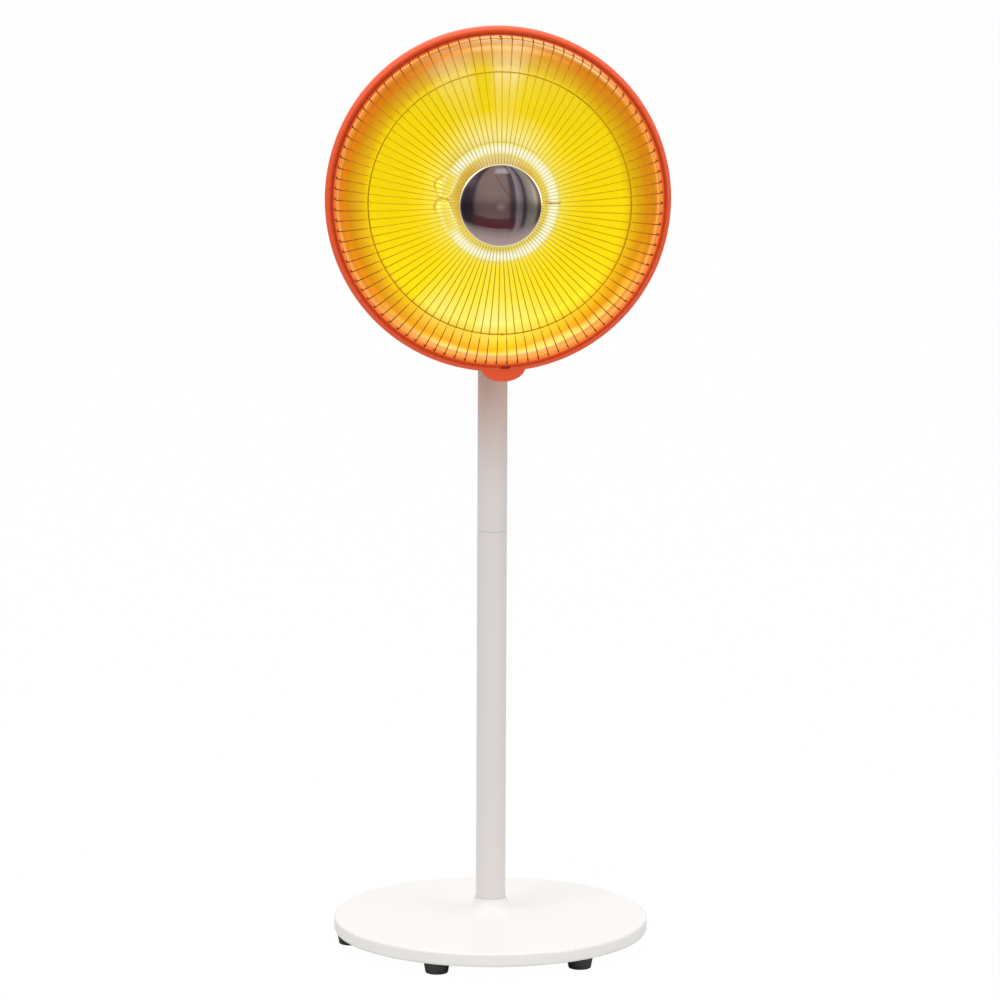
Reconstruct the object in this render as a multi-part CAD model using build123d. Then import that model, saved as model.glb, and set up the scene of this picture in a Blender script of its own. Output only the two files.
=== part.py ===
# Fan-shaped carbon heater: a round radiant head on a pole that stands in a weighted disc base.
# Sizes are millimetres. +Z is up, the heater faces -Y, and the origin is on the floor under the pole.
from build123d import *
import os
from math import acos, asin, cos, degrees, pi, radians, sin, sqrt, tan

# Overall sizes
HEAD_R = 200.0
HEAD_Z = 906.0
HEAD_REACH = 115.0
BASE_R = 188.0
BASE_TOP = 30.3
FOOT_H = 14.0

# Base
COVER_T = 2.8
COLLAR_FOOT_R = 66.0
COLLAR_R = 20.0
COLLAR_TOP = 52.3
PLATE_T = 1.6
PLATE_R = BASE_R - COVER_T - 0.3
PLATE_TOP = FOOT_H + PLATE_T
WEIGHT_OUTER_R = 150.0
WEIGHT_INNER_R = 66.0
WEIGHT_T = 7.4
FOOT_COUNT = 6
FOOT_CIRCLE_R = 170.0
FOOT_TURN = 5.5
FOOT_SCREW_R = 2.0
BASE_SCREW_CIRCLE_R = 54.0
BASE_SCREW_R = 2.0
FLANGE_R = 45.0
FLANGE_T = 4.0
FLANGE_BOLT_CIRCLE_R = 34.0
FLANGE_BOLT_R = 3.0
SPIGOT_TOP = 90.0
GLAND_R = 5.5
GLAND_Z = 22.0

# Pole
POLE_R = 17.6
POLE_BORE_R = 15.6
SPIGOT_R = 15.4
POLE_HOLE_R = 18.0
POLE_FOOT_Z = PLATE_TOP + FLANGE_T
SEAM_Z = 500.0
SEAM_GAP = 0.3
POLE_TOP = 770.0
JOINER_HALF = 45.0
POLE_SCREW_R = 2.0
POLE_SCREW_HEIGHTS = (38.0, SEAM_Z - 22, SEAM_Z + 22, 742.0)
CABLE_R = 3.2
CABLE_Z = 23.2
CABLE_BEND_R = 25.0
CABLE_TOP = 728.0

# Tip-over switch, in the rear half of the base
TIP_R = 165.0
TIP_TURN = 35.0
PLUNGER_R = 4.0
PLUNGER_COLLAR_R = 5.6
PLUNGER_COLLAR_Z = 20.4
TIP_BORE_R = 7.0
TIP_ROOF_Z = 25.9
TIP_HOUSING_TOP = 27.3

# Swing joint
POST_R = 8.0
POST_BORE_R = 4.5
RUNNING_GAP = 0.05
GEAR_Z = 773.0
GEAR_T = 7.0
GEAR_MODULE = 1.0
FIXED_TEETH = 32
PINION_TEETH = 16
GEAR_BACKLASH = 0.16
PRESSURE_ANGLE = 20.0
PINION_Y = GEAR_MODULE * (FIXED_TEETH + PINION_TEETH) / 2
PINION_SHAFT_R = 2.5
CARRIER_Z = GEAR_Z + GEAR_T + 3.0
CARRIER_T = 3.0
CARRIER_TOP = CARRIER_Z + CARRIER_T
MOTOR_R = 12.5
MOTOR_T = 13.5
MOTOR_EAR_X = 16.5
MOTOR_SCREW_R = 1.5
RING_T = 1.3
POST_TOP = 799.0

# Neck, which turns with the head
NECK_FRONT_R = 27.0
NECK_BACK_R = 24.0
NECK_BACK_Y = 22.0
NECK_WALL = 2.5
NECK_FLOOR_Z = 752.0
NECK_TOP_Z = 802.0
BRACKET_T = 4.0
BRACKET_SCREW_X = 20.8
BRACKET_SCREW_Y = 4.0
BRACKET_SCREW_R = 1.6

# Tilt joint
PIN_Y = 4.0
PIN_Z = 820.0
PIN_R = 4.0
TONGUE_HALF = 12.0
WASHER_T = 0.9
LUG_INNER = 13.0
LUG_OUTER = 19.0
LUG_R = 10.0

# Bezel; depths in the head are measured forwards from the plane of its widest line
BEZEL_BACK = -24.0
CREASE_R = 192.4
LIP_R = 184.4
TAB_WIDTH = 51.4
TAB_DROP = 12.0
TAB_TURN = 2.0
SLOT_R = 195.0
SLOT_WIDTH = 11.3
SLOT_HEIGHT = 3.2
BEZEL_SCREW_R = 1.8
BEZEL_SCREW_DEPTH = -16.0

# Rear shell, reflector and heat shield
SHELL_R = 197.2
SHELL_T = 1.0
SHELL_STRAIGHT = -26.0
SHELL_FLAT_R = 90.0
SHELL_BACK = -81.0
SHELL_OPENING_R = 54.0
VENT_COUNT = 40
VENT_R = 116.0
VENT_LENGTH = 30.0
VENT_WIDTH = 4.0
REFLECTOR_T = 1.2
REFLECTOR_RIM_R = 192.0
REFLECTOR_STEP_R = 150.0
SHIELD_R = 125.0
SHIELD_FRONT = -66.0
SHIELD_T = 0.8
SPACER_CIRCLE_R = 80.0

# Lamp
LAMP_R = 62.0
LAMP_DEPTH = 24.0
LAMP_TUBE_R = 8.0
LAMP_BORE_R = 6.8
FILAMENT_R = 4.5
LAMP_HALF_ARC = 156.0
LAMP_BEND_R = 14.0
LAMP_LEG_END = -47.5
LAMP_CAP_R = 9.6
LAMP_FLANGE_R = 10.9
LAMP_FLANGE_T = 3.0
CLAMP_T = 1.2
LAMP_CAP_FRONT = -40.0
SOCKET_FLOOR = -48.0

# Guard
RADIAL_COUNT = 96
RADIAL_WIRE_R = 0.6
GUARD_TURN = 1.2
WIRE_START_R = 33.0
WIRE_DEPTH = 58.0
DOME_FLAT_R = 62.0
DOME_R = 225.0
DOME_SIDE_R = 188.6
DOME_CORNER_R = 9.0
WIRE_END_DEPTH = -1.5
WELD_SINK = 0.12
OUTER_RING_DEPTH = 6.0
OUTER_RING_WIRE_R = 1.25
MIDDLE_RING_R = 151.0
MIDDLE_RING_WIRE_R = 0.8
INNER_RING_R = 40.0
INNER_RING_WIRE_R = 1.0
CAP_R = 47.4
CAP_APEX = 67.5
CAP_T = 1.1
CAP_BOSS_R = 5.0
CAP_SCREW_R = 1.6

# Housing for the controls, on the back of the head
HOUSING_R = 74.0
HOUSING_WALL = 2.5
HOUSING_BACK = -150.0
COVER_BACK = -157.0
HOUSING_SCREW_CIRCLE_R = 66.0
BACK_SCREW_CIRCLE_R = 60.0
PANEL_T = 2.8
KNOB_Y = 22.0
KNOB_R = 17.0
SPINDLE_R = 3.0
SWITCH_Y = -22.0
SWITCH_X = 10.5
SWITCH_FLANGE_T = 1.2
ROCKER_HALF_WIDTH = 7.2
ROCKER_HALF_HEIGHT = 9.8
ROCKER_PIVOT = -3.0
ROCKER_PIN_R = 1.5
ROCKER_REST = 8.0
PILOT_X = 33.0
PILOT_R = 3.0

# Frame of the head: X to the right, Y up, Z forwards
HEAD = Plane(origin=(0, -HEAD_REACH, HEAD_Z), x_dir=(1, 0, 0), z_dir=(0, -1, 0))
# Frame of the back panel: X to the right for someone behind, Y up, Z out of the panel
PANEL = Plane(origin=(0, -HEAD_REACH - COVER_BACK, HEAD_Z), x_dir=(-1, 0, 0), z_dir=(0, 1, 0))
STAND = (Align.CENTER, Align.CENTER, Align.MIN)
FLIP = Rot(180, 0, 0)
ALONG_X = Rot(0, 90, 0)


# General shapes
def rod(radius, low, high):
    return Pos(0, 0, low) * Cylinder(radius, high - low, align=STAND)


def tube(inner, outer, low, high):
    return rod(outer, low, high) - rod(inner, low, high)


def block(size, centre):
    return Pos(*centre) * Box(*size)


def turned(*outline):
    """Solid turned about Z from lines drawn as (radius, height)."""
    edges = [edge for line in outline for edge in line.edges()]
    return revolve(Plane.XZ * make_face(edges), Axis.Z)


def group(shape, places):
    """Separate copies of one shape, kept together as one piece of the list."""
    return Compound([place * shape for place in places])


def circle_places(count, radius, start=0.0):
    return list(PolarLocations(radius, count, start_angle=start))


def screw(head_r, head_h, shank_r, length):
    """Cross-slotted screw: the head stands on Z = 0 and the shank points down."""
    slot_width = head_r * 0.25
    slot_length = head_r * 1.3
    slot_depth = head_h * 0.5
    body = rod(head_r, 0, head_h) + rod(shank_r, -length, 0)
    rim = body.edges().filter_by(GeomType.CIRCLE).sort_by(Axis.Z)[-1]
    body = fillet(rim, head_h * 0.35)
    for size in ((slot_length, slot_width), (slot_width, slot_length)):
        body -= block((*size, slot_depth * 2), (0, 0, head_h))
    return body


def drilled(shape, radius, low, high, places):
    for place in places:
        shape -= place * rod(radius, low, high)
    return shape


# Base
FOOT_PLACES = circle_places(FOOT_COUNT, FOOT_CIRCLE_R, FOOT_TURN)
BASE_SCREW_PLACES = circle_places(3, BASE_SCREW_CIRCLE_R, 30)
FLANGE_BOLT_PLACES = circle_places(4, FLANGE_BOLT_CIRCLE_R, 45)
TIP_PLACE = Rot(0, 0, TIP_TURN) * Pos(TIP_R, 0, 0)
TIP_HOLE_R = PLUNGER_R + 0.3
GLAND_PLACE = Pos(0, 0, GLAND_Z) * Rot(-90, 0, 0)


def base_cover():
    edge_r = 3.0
    inside_r = BASE_R - COVER_T
    under_top = BASE_TOP - COVER_T
    flare_width = COLLAR_FOOT_R - COLLAR_R
    flare_height = COLLAR_TOP - BASE_TOP
    flare_centre = (COLLAR_FOOT_R, COLLAR_TOP)
    inner_width = flare_width + 2.5
    inner_start = 180 + degrees(acos((COLLAR_FOOT_R - POLE_HOLE_R) / inner_width))
    flare = EllipticalCenterArc(flare_centre, flare_width, flare_height, 180, arc_size=90)
    inner_flare = EllipticalCenterArc(flare_centre, inner_width, flare_height + COVER_T, inner_start,
                                      arc_size=270 - inner_start)
    corner = CenterArc((BASE_R - edge_r, BASE_TOP - edge_r), edge_r, 0, 90)
    inner_top = inner_flare @ 0
    cover = turned(
        flare,
        Line((COLLAR_FOOT_R, BASE_TOP), (BASE_R - edge_r, BASE_TOP)),
        corner,
        Polyline((BASE_R, BASE_TOP - edge_r), (BASE_R, FOOT_H + 2), (BASE_R - 1, FOOT_H), (inside_r, FOOT_H),
                 (inside_r, under_top), (COLLAR_FOOT_R, under_top)),
        inner_flare,
        Polyline((inner_top.X, inner_top.Y), (POLE_HOLE_R, COLLAR_TOP), (COLLAR_R, COLLAR_TOP)),
    )
    for place in BASE_SCREW_PLACES:
        cover += place * rod(BASE_SCREW_R + 2.5, PLATE_TOP, under_top + 1)
    cover = drilled(cover, BASE_SCREW_R, PLATE_TOP, PLATE_TOP + 9, BASE_SCREW_PLACES)
    return cover - GLAND_PLACE * rod(GLAND_R, BASE_R - 12, BASE_R + 1)


def base_plate():
    plate = rod(PLATE_R, FOOT_H, PLATE_TOP)
    holes = ((FOOT_SCREW_R, FOOT_PLACES), (BASE_SCREW_R, BASE_SCREW_PLACES),
             (FLANGE_BOLT_R, FLANGE_BOLT_PLACES), (TIP_HOLE_R, [TIP_PLACE]))
    for radius, places in holes:
        plate = drilled(plate, radius, FOOT_H, PLATE_TOP, places)
    return plate


def base_weight():
    low = PLATE_TOP
    weight = tube(WEIGHT_INNER_R, WEIGHT_OUTER_R, low, low + WEIGHT_T)
    channel_width = 4 * CABLE_R
    weight -= block((channel_width, WEIGHT_OUTER_R, 3 * WEIGHT_T), (0, WEIGHT_OUTER_R / 2 + 40, low))
    return chamfer(weight.edges().group_by(Axis.Z)[-1], 1.0)


def rubber_feet():
    recess_r = 6.0
    recess_h = 5.0
    sole_r = 12.0
    wall_low = 1.6
    foot = turned(
        Line((recess_r, 0), (sole_r, 0)),
        ThreePointArc((sole_r, 0), (13.1, 0.5), (13.5, wall_low)),
        Polyline((13.5, wall_low), (15.6, FOOT_H - 1), (15.6, FOOT_H), (FOOT_SCREW_R, FOOT_H),
                 (FOOT_SCREW_R, recess_h), (recess_r, recess_h), (recess_r, 0)),
    )
    return group(foot, FOOT_PLACES)


def foot_screws():
    seat = 5.0
    return group(Pos(0, 0, seat) * FLIP * screw(4.2, 2.2, FOOT_SCREW_R, FOOT_H + 3 - seat), FOOT_PLACES)


def base_screws():
    return group(Pos(0, 0, FOOT_H) * FLIP * screw(3.8, 2.0, BASE_SCREW_R, 9), BASE_SCREW_PLACES)


def flange_bolts():
    bolt = Pos(0, 0, FOOT_H) * FLIP * screw(5.5, 3.0, FLANGE_BOLT_R, PLATE_T + FLANGE_T)
    return group(bolt, FLANGE_BOLT_PLACES)


def cable_notch():
    """Opening at the back of the pole's foot where the cable turns up into the pole."""
    width = 2 * CABLE_R + 2
    top = 31.5
    return block((width, 16, top - POLE_FOOT_Z), (0, SPIGOT_R, (top + POLE_FOOT_Z) / 2))


def pole_screw_holes(shape, heights):
    for height in heights:
        shape -= Pos(0, 0, height) * Rot(-90, 0, 0) * rod(POLE_SCREW_R, 8, POLE_R + 1)
    return shape


def pole_flange():
    bore_r = 12.4
    flange = tube(bore_r, FLANGE_R, PLATE_TOP, POLE_FOOT_Z) + tube(bore_r, SPIGOT_R, POLE_FOOT_Z, SPIGOT_TOP)
    flange = drilled(flange, FLANGE_BOLT_R, PLATE_TOP, POLE_FOOT_Z, FLANGE_BOLT_PLACES)
    return pole_screw_holes(flange - cable_notch(), POLE_SCREW_HEIGHTS[:1])


def cable_gland():
    lip = 2.0
    gland = tube(CABLE_R + 0.3, GLAND_R, BASE_R - 11, BASE_R - 0.3)
    gland += tube(CABLE_R + 0.3, GLAND_R + lip, BASE_R - 11, BASE_R - 9)
    room = BASE_TOP - COVER_T - 0.1 - PLATE_TOP
    return GLAND_PLACE * gland & block((30, 30, room), (0, BASE_R - 6, PLATE_TOP + room / 2))


def supply_cable():
    """Cable inside the base and pole: in through the gland, round one bend, up to the swing joint."""
    route = FilletPolyline((0, BASE_R - 12, CABLE_Z), (0, 0, CABLE_Z), (0, 0, CABLE_TOP), radius=CABLE_BEND_R)
    section = Plane(origin=route @ 0, z_dir=route % 0) * Circle(CABLE_R)
    return sweep(section, path=route)


def tip_housing():
    inner_floor = PLATE_TOP
    housing = tube(TIP_BORE_R, TIP_BORE_R + 3, inner_floor, TIP_ROOF_Z)
    housing += rod(TIP_BORE_R + 3, TIP_ROOF_Z, TIP_HOUSING_TOP)
    return TIP_PLACE * housing


def tip_microswitch():
    beside = TIP_BORE_R + 3 + 4.1
    body = block((20, 8, 9), (0, beside, PLATE_TOP + 4.5))
    button = block((3, 2, 2), (5, beside, PLATE_TOP + 10))
    return TIP_PLACE * (body + button)


def tip_plunger():
    pad_h = 2.0
    stem = rod(PLUNGER_R, 0, PLUNGER_COLLAR_Z) + rod(PLUNGER_R + 1, 0, pad_h)
    collar = rod(PLUNGER_COLLAR_R, PLUNGER_COLLAR_Z, PLUNGER_COLLAR_Z + 1)
    return TIP_PLACE * (stem + collar)


def tip_spring():
    wire_r = 0.3
    coil_r = 4.0
    low = PLUNGER_COLLAR_Z + 1 + wire_r + 0.05
    height = TIP_ROOF_Z - wire_r - 0.05 - low
    turns = 4
    coil = Helix(pitch=height / turns, height=height, radius=coil_r)
    section = Plane(origin=coil @ 0, z_dir=coil % 0) * Circle(wire_r)
    return TIP_PLACE * Pos(0, 0, low) * sweep(section, path=coil)


# Pole
def lower_pole():
    pole = tube(POLE_BORE_R, POLE_R, POLE_FOOT_Z, SEAM_Z - SEAM_GAP / 2)
    return pole_screw_holes(pole - cable_notch(), POLE_SCREW_HEIGHTS[:2])


def upper_pole():
    pole = tube(POLE_BORE_R, POLE_R, SEAM_Z + SEAM_GAP / 2, POLE_TOP)
    return pole_screw_holes(pole, POLE_SCREW_HEIGHTS[2:])


def pole_joiner():
    joiner = tube(12.2, SPIGOT_R, SEAM_Z - JOINER_HALF, SEAM_Z + JOINER_HALF)
    return pole_screw_holes(joiner, POLE_SCREW_HEIGHTS[1:3])


def pole_screws():
    fixing = Rot(-90, 0, 0) * Pos(0, 0, POLE_R) * screw(3.4, 1.6, POLE_SCREW_R, 5.6)
    return Compound([Pos(0, 0, height) * fixing for height in POLE_SCREW_HEIGHTS])


# Swing joint
def involute(angle):
    return tan(angle) - angle


def gear(teeth, thickness, bore_r, turn):
    """Spur gear with involute flanks and a little backlash."""
    pitch_r = GEAR_MODULE * teeth / 2
    tip_r = pitch_r + GEAR_MODULE
    root_r = pitch_r - 1.25 * GEAR_MODULE
    base_r = pitch_r * cos(radians(PRESSURE_ANGLE))
    half_tooth = pi / (2 * teeth) - GEAR_BACKLASH / (4 * pitch_r) + involute(radians(PRESSURE_ANGLE))
    flank_start = max(base_r, root_r)
    steps = 5
    flank = [(root_r, half_tooth)] if root_r < base_r else []
    for step in range(steps + 1):
        radius = flank_start + (tip_r - flank_start) * step / steps
        flank.append((radius, half_tooth - involute(acos(min(1, base_r / radius)))))
    points = []
    for tooth in range(teeth):
        centre = 2 * pi * tooth / teeth + radians(turn)
        rising = [(radius, centre - angle) for radius, angle in flank]
        falling = [(radius, centre + angle) for radius, angle in reversed(flank)]
        points += [(radius * cos(angle), radius * sin(angle)) for radius, angle in rising + falling]
    outline = make_face(Polyline(*points, close=True).edges())
    return extrude(outline, thickness) - rod(bore_r, 0, thickness)


def swivel_post():
    plug_low = POLE_TOP - 38
    groove_r = POST_R - 0.8
    groove_low = CARRIER_TOP + 0.1
    post = turned(Polyline(
        (POST_BORE_R, plug_low), (SPIGOT_R, plug_low), (SPIGOT_R, POLE_TOP), (POLE_R, POLE_TOP),
        (POLE_R, GEAR_Z), (POST_R, GEAR_Z), (POST_R, groove_low), (groove_r, groove_low),
        (groove_r, groove_low + RING_T + 0.1), (POST_R, groove_low + RING_T + 0.1), (POST_R, POST_TOP),
        (POST_BORE_R, POST_TOP), close=True))
    return pole_screw_holes(post, POLE_SCREW_HEIGHTS[3:])


def fixed_gear():
    return Pos(0, 0, GEAR_Z) * gear(FIXED_TEETH, GEAR_T, POST_R, 90)


def thrust_washer():
    return tube(POST_R, 14, GEAR_Z + GEAR_T, CARRIER_Z - RUNNING_GAP)


def retaining_ring():
    low = CARRIER_TOP + 0.15
    ring = tube(POST_R - 0.8, 11, low, low + RING_T)
    return ring - block((5, 12, 4), (0, -9, low))


def swing_pinion():
    gap_turn = 180 / PINION_TEETH
    pinion = Pos(0, 0, GEAR_Z + 1) * gear(PINION_TEETH, GEAR_T - 1.6, PINION_SHAFT_R, gap_turn)
    return Pos(0, PINION_Y, 0) * (pinion + rod(PINION_SHAFT_R, GEAR_Z + 1, CARRIER_TOP + 2.5))


def neck_outline(inset):
    front = Circle(NECK_FRONT_R - inset)
    back = Pos(0, NECK_BACK_Y, 0) * Circle(NECK_BACK_R - inset)
    return make_hull(front.edges() + back.edges())


def neck_slab(inset, low, high):
    return Pos(0, 0, low) * extrude(neck_outline(inset), high - low)


MOTOR_SCREW_PLACES = [Pos(side * MOTOR_EAR_X, PINION_Y, 0) for side in (-1, 1)]
BRACKET_SCREW_PLACES = [Pos(side * BRACKET_SCREW_X, BRACKET_SCREW_Y, 0) for side in (-1, 1)]


def neck_shell():
    ledge = 2.0
    floor_t = 3.0
    corner_r = 6.0
    boss_r = 3.9
    boss_low = CARRIER_TOP + 0.5
    shell = neck_slab(0, NECK_FLOOR_Z, NECK_TOP_Z)
    shell = fillet(shell.edges().group_by(Axis.Z)[0], corner_r)
    shell -= neck_slab(NECK_WALL + ledge, NECK_FLOOR_Z + floor_t, CARRIER_Z)
    shell -= neck_slab(NECK_WALL, CARRIER_Z, NECK_TOP_Z)
    shell -= rod(POLE_R + 0.7, NECK_FLOOR_Z, NECK_FLOOR_Z + floor_t)
    for place in BRACKET_SCREW_PLACES:
        shell += place * rod(boss_r, boss_low, NECK_TOP_Z)
    return drilled(shell, BRACKET_SCREW_R, boss_low, NECK_TOP_Z, BRACKET_SCREW_PLACES)


def carrier_plate():
    plate = neck_slab(NECK_WALL + 0.1, CARRIER_Z, CARRIER_TOP)
    plate -= rod(POST_R + RUNNING_GAP, CARRIER_Z, CARRIER_TOP)
    plate -= Pos(0, PINION_Y, 0) * rod(PINION_SHAFT_R + 0.7, CARRIER_Z, CARRIER_TOP)
    return drilled(plate, MOTOR_SCREW_R, CARRIER_Z, CARRIER_TOP, MOTOR_SCREW_PLACES)


def swing_motor():
    ear_t = 1.5
    ears = block((2 * MOTOR_EAR_X + 7, 7, ear_t), (0, 0, CARRIER_TOP + ear_t / 2))
    body = rod(MOTOR_R, CARRIER_TOP, CARRIER_TOP + MOTOR_T)
    bore = rod(PINION_SHAFT_R + RUNNING_GAP, CARRIER_TOP, CARRIER_TOP + 3)
    motor = Pos(0, PINION_Y, 0) * (ears + body - bore)
    return drilled(motor, MOTOR_SCREW_R, CARRIER_TOP, CARRIER_TOP + ear_t, MOTOR_SCREW_PLACES)


def motor_screws():
    return group(Pos(0, 0, CARRIER_TOP + 1.5) * screw(2.8, 1.6, MOTOR_SCREW_R, 4), MOTOR_SCREW_PLACES)


def bracket_screws():
    fixing = Pos(0, 0, NECK_TOP_Z + BRACKET_T) * screw(3.2, 1.8, BRACKET_SCREW_R, 14)
    return group(fixing, BRACKET_SCREW_PLACES)


# Tilt joint
PIN_PLACE = Pos(0, PIN_Y, PIN_Z) * ALONG_X


def tilt_bracket():
    plate_top = NECK_TOP_Z + BRACKET_T
    plate = neck_slab(0, NECK_TOP_Z, plate_top)
    plate = fillet(plate.edges().group_by(Axis.Z)[-1], 1.5)
    tongue = block((2 * TONGUE_HALF, 2 * LUG_R, PIN_Z - plate_top), (0, PIN_Y, (PIN_Z + plate_top) / 2))
    tongue += PIN_PLACE * rod(LUG_R, -TONGUE_HALF, TONGUE_HALF)
    bracket = plate + tongue - PIN_PLACE * rod(PIN_R + RUNNING_GAP, -TONGUE_HALF, TONGUE_HALF)
    return drilled(bracket, BRACKET_SCREW_R, NECK_TOP_Z, plate_top, BRACKET_SCREW_PLACES)


def tilt_washers():
    right = PIN_PLACE * tube(PIN_R + RUNNING_GAP, 8, TONGUE_HALF, TONGUE_HALF + WASHER_T)
    left = PIN_PLACE * tube(PIN_R + RUNNING_GAP, 8, -TONGUE_HALF - WASHER_T, -TONGUE_HALF)
    return Compound([left, right])


def tilt_pin():
    head = rod(7, -LUG_OUTER - 4, -LUG_OUTER)
    head = fillet(head.edges().group_by(Axis.Z)[0], 1.5)
    return PIN_PLACE * (head + rod(PIN_R, -LUG_OUTER, LUG_OUTER + 8))


def tilt_nut():
    across_corners_r = 7.2
    nut = extrude(RegularPolygon(across_corners_r, 6), 6)
    dome = Pos(0, 0, 6) * Cylinder(5.6, 4, align=STAND)
    dome = fillet(dome.edges().group_by(Axis.Z)[-1], 3)
    return PIN_PLACE * Pos(0, 0, LUG_OUTER) * (nut + dome - rod(PIN_R, 0, 8))


# Front of the head
BEZEL_SCREW_PLACES = [Rot(0, 0, turn) * Pos(0, 0, BEZEL_SCREW_DEPTH) * ALONG_X for turn in (35, 145)]


def bezel_ring():
    front_depth = 3.4
    front_r = 196.2
    ring = turned(
        Line((HEAD_R - 0.8, BEZEL_BACK), (HEAD_R, -3)),
        ThreePointArc((HEAD_R, -3), (198.8, 1.6), (front_r, front_depth)),
        ThreePointArc((front_r, front_depth), (193.8, 2.5), (CREASE_R, 0.6)),
        Polyline((CREASE_R, 0.6), (CREASE_R - 0.2, -0.9), (LIP_R, -3), (LIP_R, -5), (193.6, -4.4),
                 (197.4, -8), (197.4, BEZEL_BACK), (HEAD_R - 0.8, BEZEL_BACK)),
    )
    tab_centre_r = SLOT_R
    tab_height = HEAD_R + TAB_DROP - tab_centre_r
    tab_low = -14.0
    tab = Pos(0, -tab_centre_r, tab_low) * extrude(Ellipse(TAB_WIDTH / 2, tab_height), 1.5 - tab_low)
    tab = fillet(tab.edges().filter_by(GeomType.ELLIPSE), 2.5) - rod(HEAD_R - 2.5, tab_low, 5)
    ring = ring + Rot(0, 0, TAB_TURN) * tab
    slot_floor = -2.6
    slot = block((SLOT_WIDTH, SLOT_HEIGHT, 12), (0, -SLOT_R, slot_floor + 6))
    ring -= Rot(0, 0, TAB_TURN + 0.5) * slot
    return HEAD * drilled(ring, BEZEL_SCREW_R, SHELL_R, HEAD_R, BEZEL_SCREW_PLACES)


def bezel_screws():
    fixing = rod(BEZEL_SCREW_R, SHELL_R - 5, HEAD_R - 0.5) - block((2.6, 0.5, 1.2), (0, 0, HEAD_R - 0.5))
    return HEAD * group(fixing, BEZEL_SCREW_PLACES)


def rear_shell():
    width = SHELL_R - SHELL_FLAT_R
    depth = SHELL_STRAIGHT - SHELL_BACK
    rim_front = -9.0
    centre = (SHELL_FLAT_R, SHELL_STRAIGHT)
    shell = turned(
        Line((SHELL_R, rim_front), (SHELL_R, SHELL_STRAIGHT)),
        EllipticalCenterArc(centre, width, depth, 270, arc_size=90),
        Polyline((SHELL_FLAT_R, SHELL_BACK), (SHELL_OPENING_R, SHELL_BACK),
                 (SHELL_OPENING_R, SHELL_BACK + SHELL_T), (SHELL_FLAT_R, SHELL_BACK + SHELL_T)),
        EllipticalCenterArc(centre, width - SHELL_T, depth - SHELL_T, 270, arc_size=90),
        Polyline((SHELL_R - SHELL_T, SHELL_STRAIGHT), (SHELL_R - SHELL_T, rim_front), (SHELL_R, rim_front)),
    )
    vent = extrude(SlotOverall(VENT_LENGTH, VENT_WIDTH), 30)
    vents = [place * vent for place in circle_places(VENT_COUNT, VENT_R)]
    shell -= [Pos(0, 0, SHELL_BACK - 3) * cut for cut in vents]
    shell = drilled(shell, BEZEL_SCREW_R, SHELL_R - 5, SHELL_R + 1, BEZEL_SCREW_PLACES)
    return HEAD * drilled(shell, HOUSING_SCREW_R, SHELL_BACK - 1, SHELL_BACK + 2, HOUSING_SCREW_PLACES)


LAMP_LEG_TURN = radians(LAMP_HALF_ARC)
LAMP_END = (LAMP_R * cos(LAMP_LEG_TURN), LAMP_R * sin(LAMP_LEG_TURN))
LAMP_LEG = (LAMP_END[0] - LAMP_BEND_R * sin(LAMP_LEG_TURN), LAMP_END[1] + LAMP_BEND_R * cos(LAMP_LEG_TURN))
LAMP_LEG_PLACES = [Pos(LAMP_LEG[0], side * LAMP_LEG[1], 0) for side in (-1, 1)]


def reflector():
    outer_front = -6.2
    step_front = -36.0
    inner_front = -37.6
    centre_front = -54.0
    band_r = 181.0
    step = REFLECTOR_STEP_R
    dish_edge_r = step - 2.5
    dish_rise = inner_front - centre_front
    dish_ball_r = (dish_edge_r ** 2 + dish_rise ** 2) / (2 * dish_rise)
    dish_turn = degrees(asin(dish_edge_r / dish_ball_r))
    front = [
        Line((REFLECTOR_RIM_R, outer_front), (band_r, outer_front)),
        ThreePointArc((band_r, outer_front), (band_r - 11, -23), (step, step_front)),
        Line((step, step_front), (dish_edge_r, inner_front)),
        CenterArc((0, centre_front + dish_ball_r), dish_ball_r, 270, dish_turn),
    ]
    back = [Pos(0, -REFLECTOR_T, 0) * edge for edge in front]
    ends = [Line((x, depth), (x, depth - REFLECTOR_T)) for x, depth in ((REFLECTOR_RIM_R, outer_front),
                                                                       (0, centre_front))]
    dish = turned(*front, *back, *ends)
    dish = drilled(dish, LAMP_CAP_R + 0.5, centre_front - 5, 0, LAMP_LEG_PLACES)
    return HEAD * (dish - Pos(LAMP_R, 0, 0) * rod(2, centre_front - 5, 0))


SPACER_PLACES = circle_places(3, SPACER_CIRCLE_R, 90)
CLAMP_SCREW_PLACES = [Pos(LAMP_LEG[0], side * (LAMP_LEG[1] + 15), 0) for side in (-1, 1)]
CLAMP_SCREW_R = 1.5
SHIELD_BACK = SHIELD_FRONT - SHIELD_T


def heat_shield():
    lip = 8.0
    shield = tube(16, SHIELD_R, SHIELD_BACK, SHIELD_FRONT)
    shield += tube(SHIELD_R - SHIELD_T, SHIELD_R, SHIELD_FRONT, SHIELD_FRONT + lip)
    shield = drilled(shield, 2.0, SHIELD_BACK, SHIELD_FRONT, LAMP_LEG_PLACES)
    return HEAD * drilled(shield, CLAMP_SCREW_R, SHIELD_BACK, SHIELD_FRONT, CLAMP_SCREW_PLACES)


def shield_spacers():
    return HEAD * group(rod(4, SHELL_BACK + SHELL_T, SHIELD_BACK), SPACER_PLACES)


def thermal_cutout():
    can = rod(8.5, SHIELD_BACK - 6, SHIELD_BACK) + rod(6.5, SHIELD_BACK - 10, SHIELD_BACK - 6)
    pins = [block((1, 4, 4), (side * 3, 0, SHIELD_BACK - 12)) for side in (-1, 1)]
    return HEAD * Pos(38, 22, 0) * (can + pins)


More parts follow.
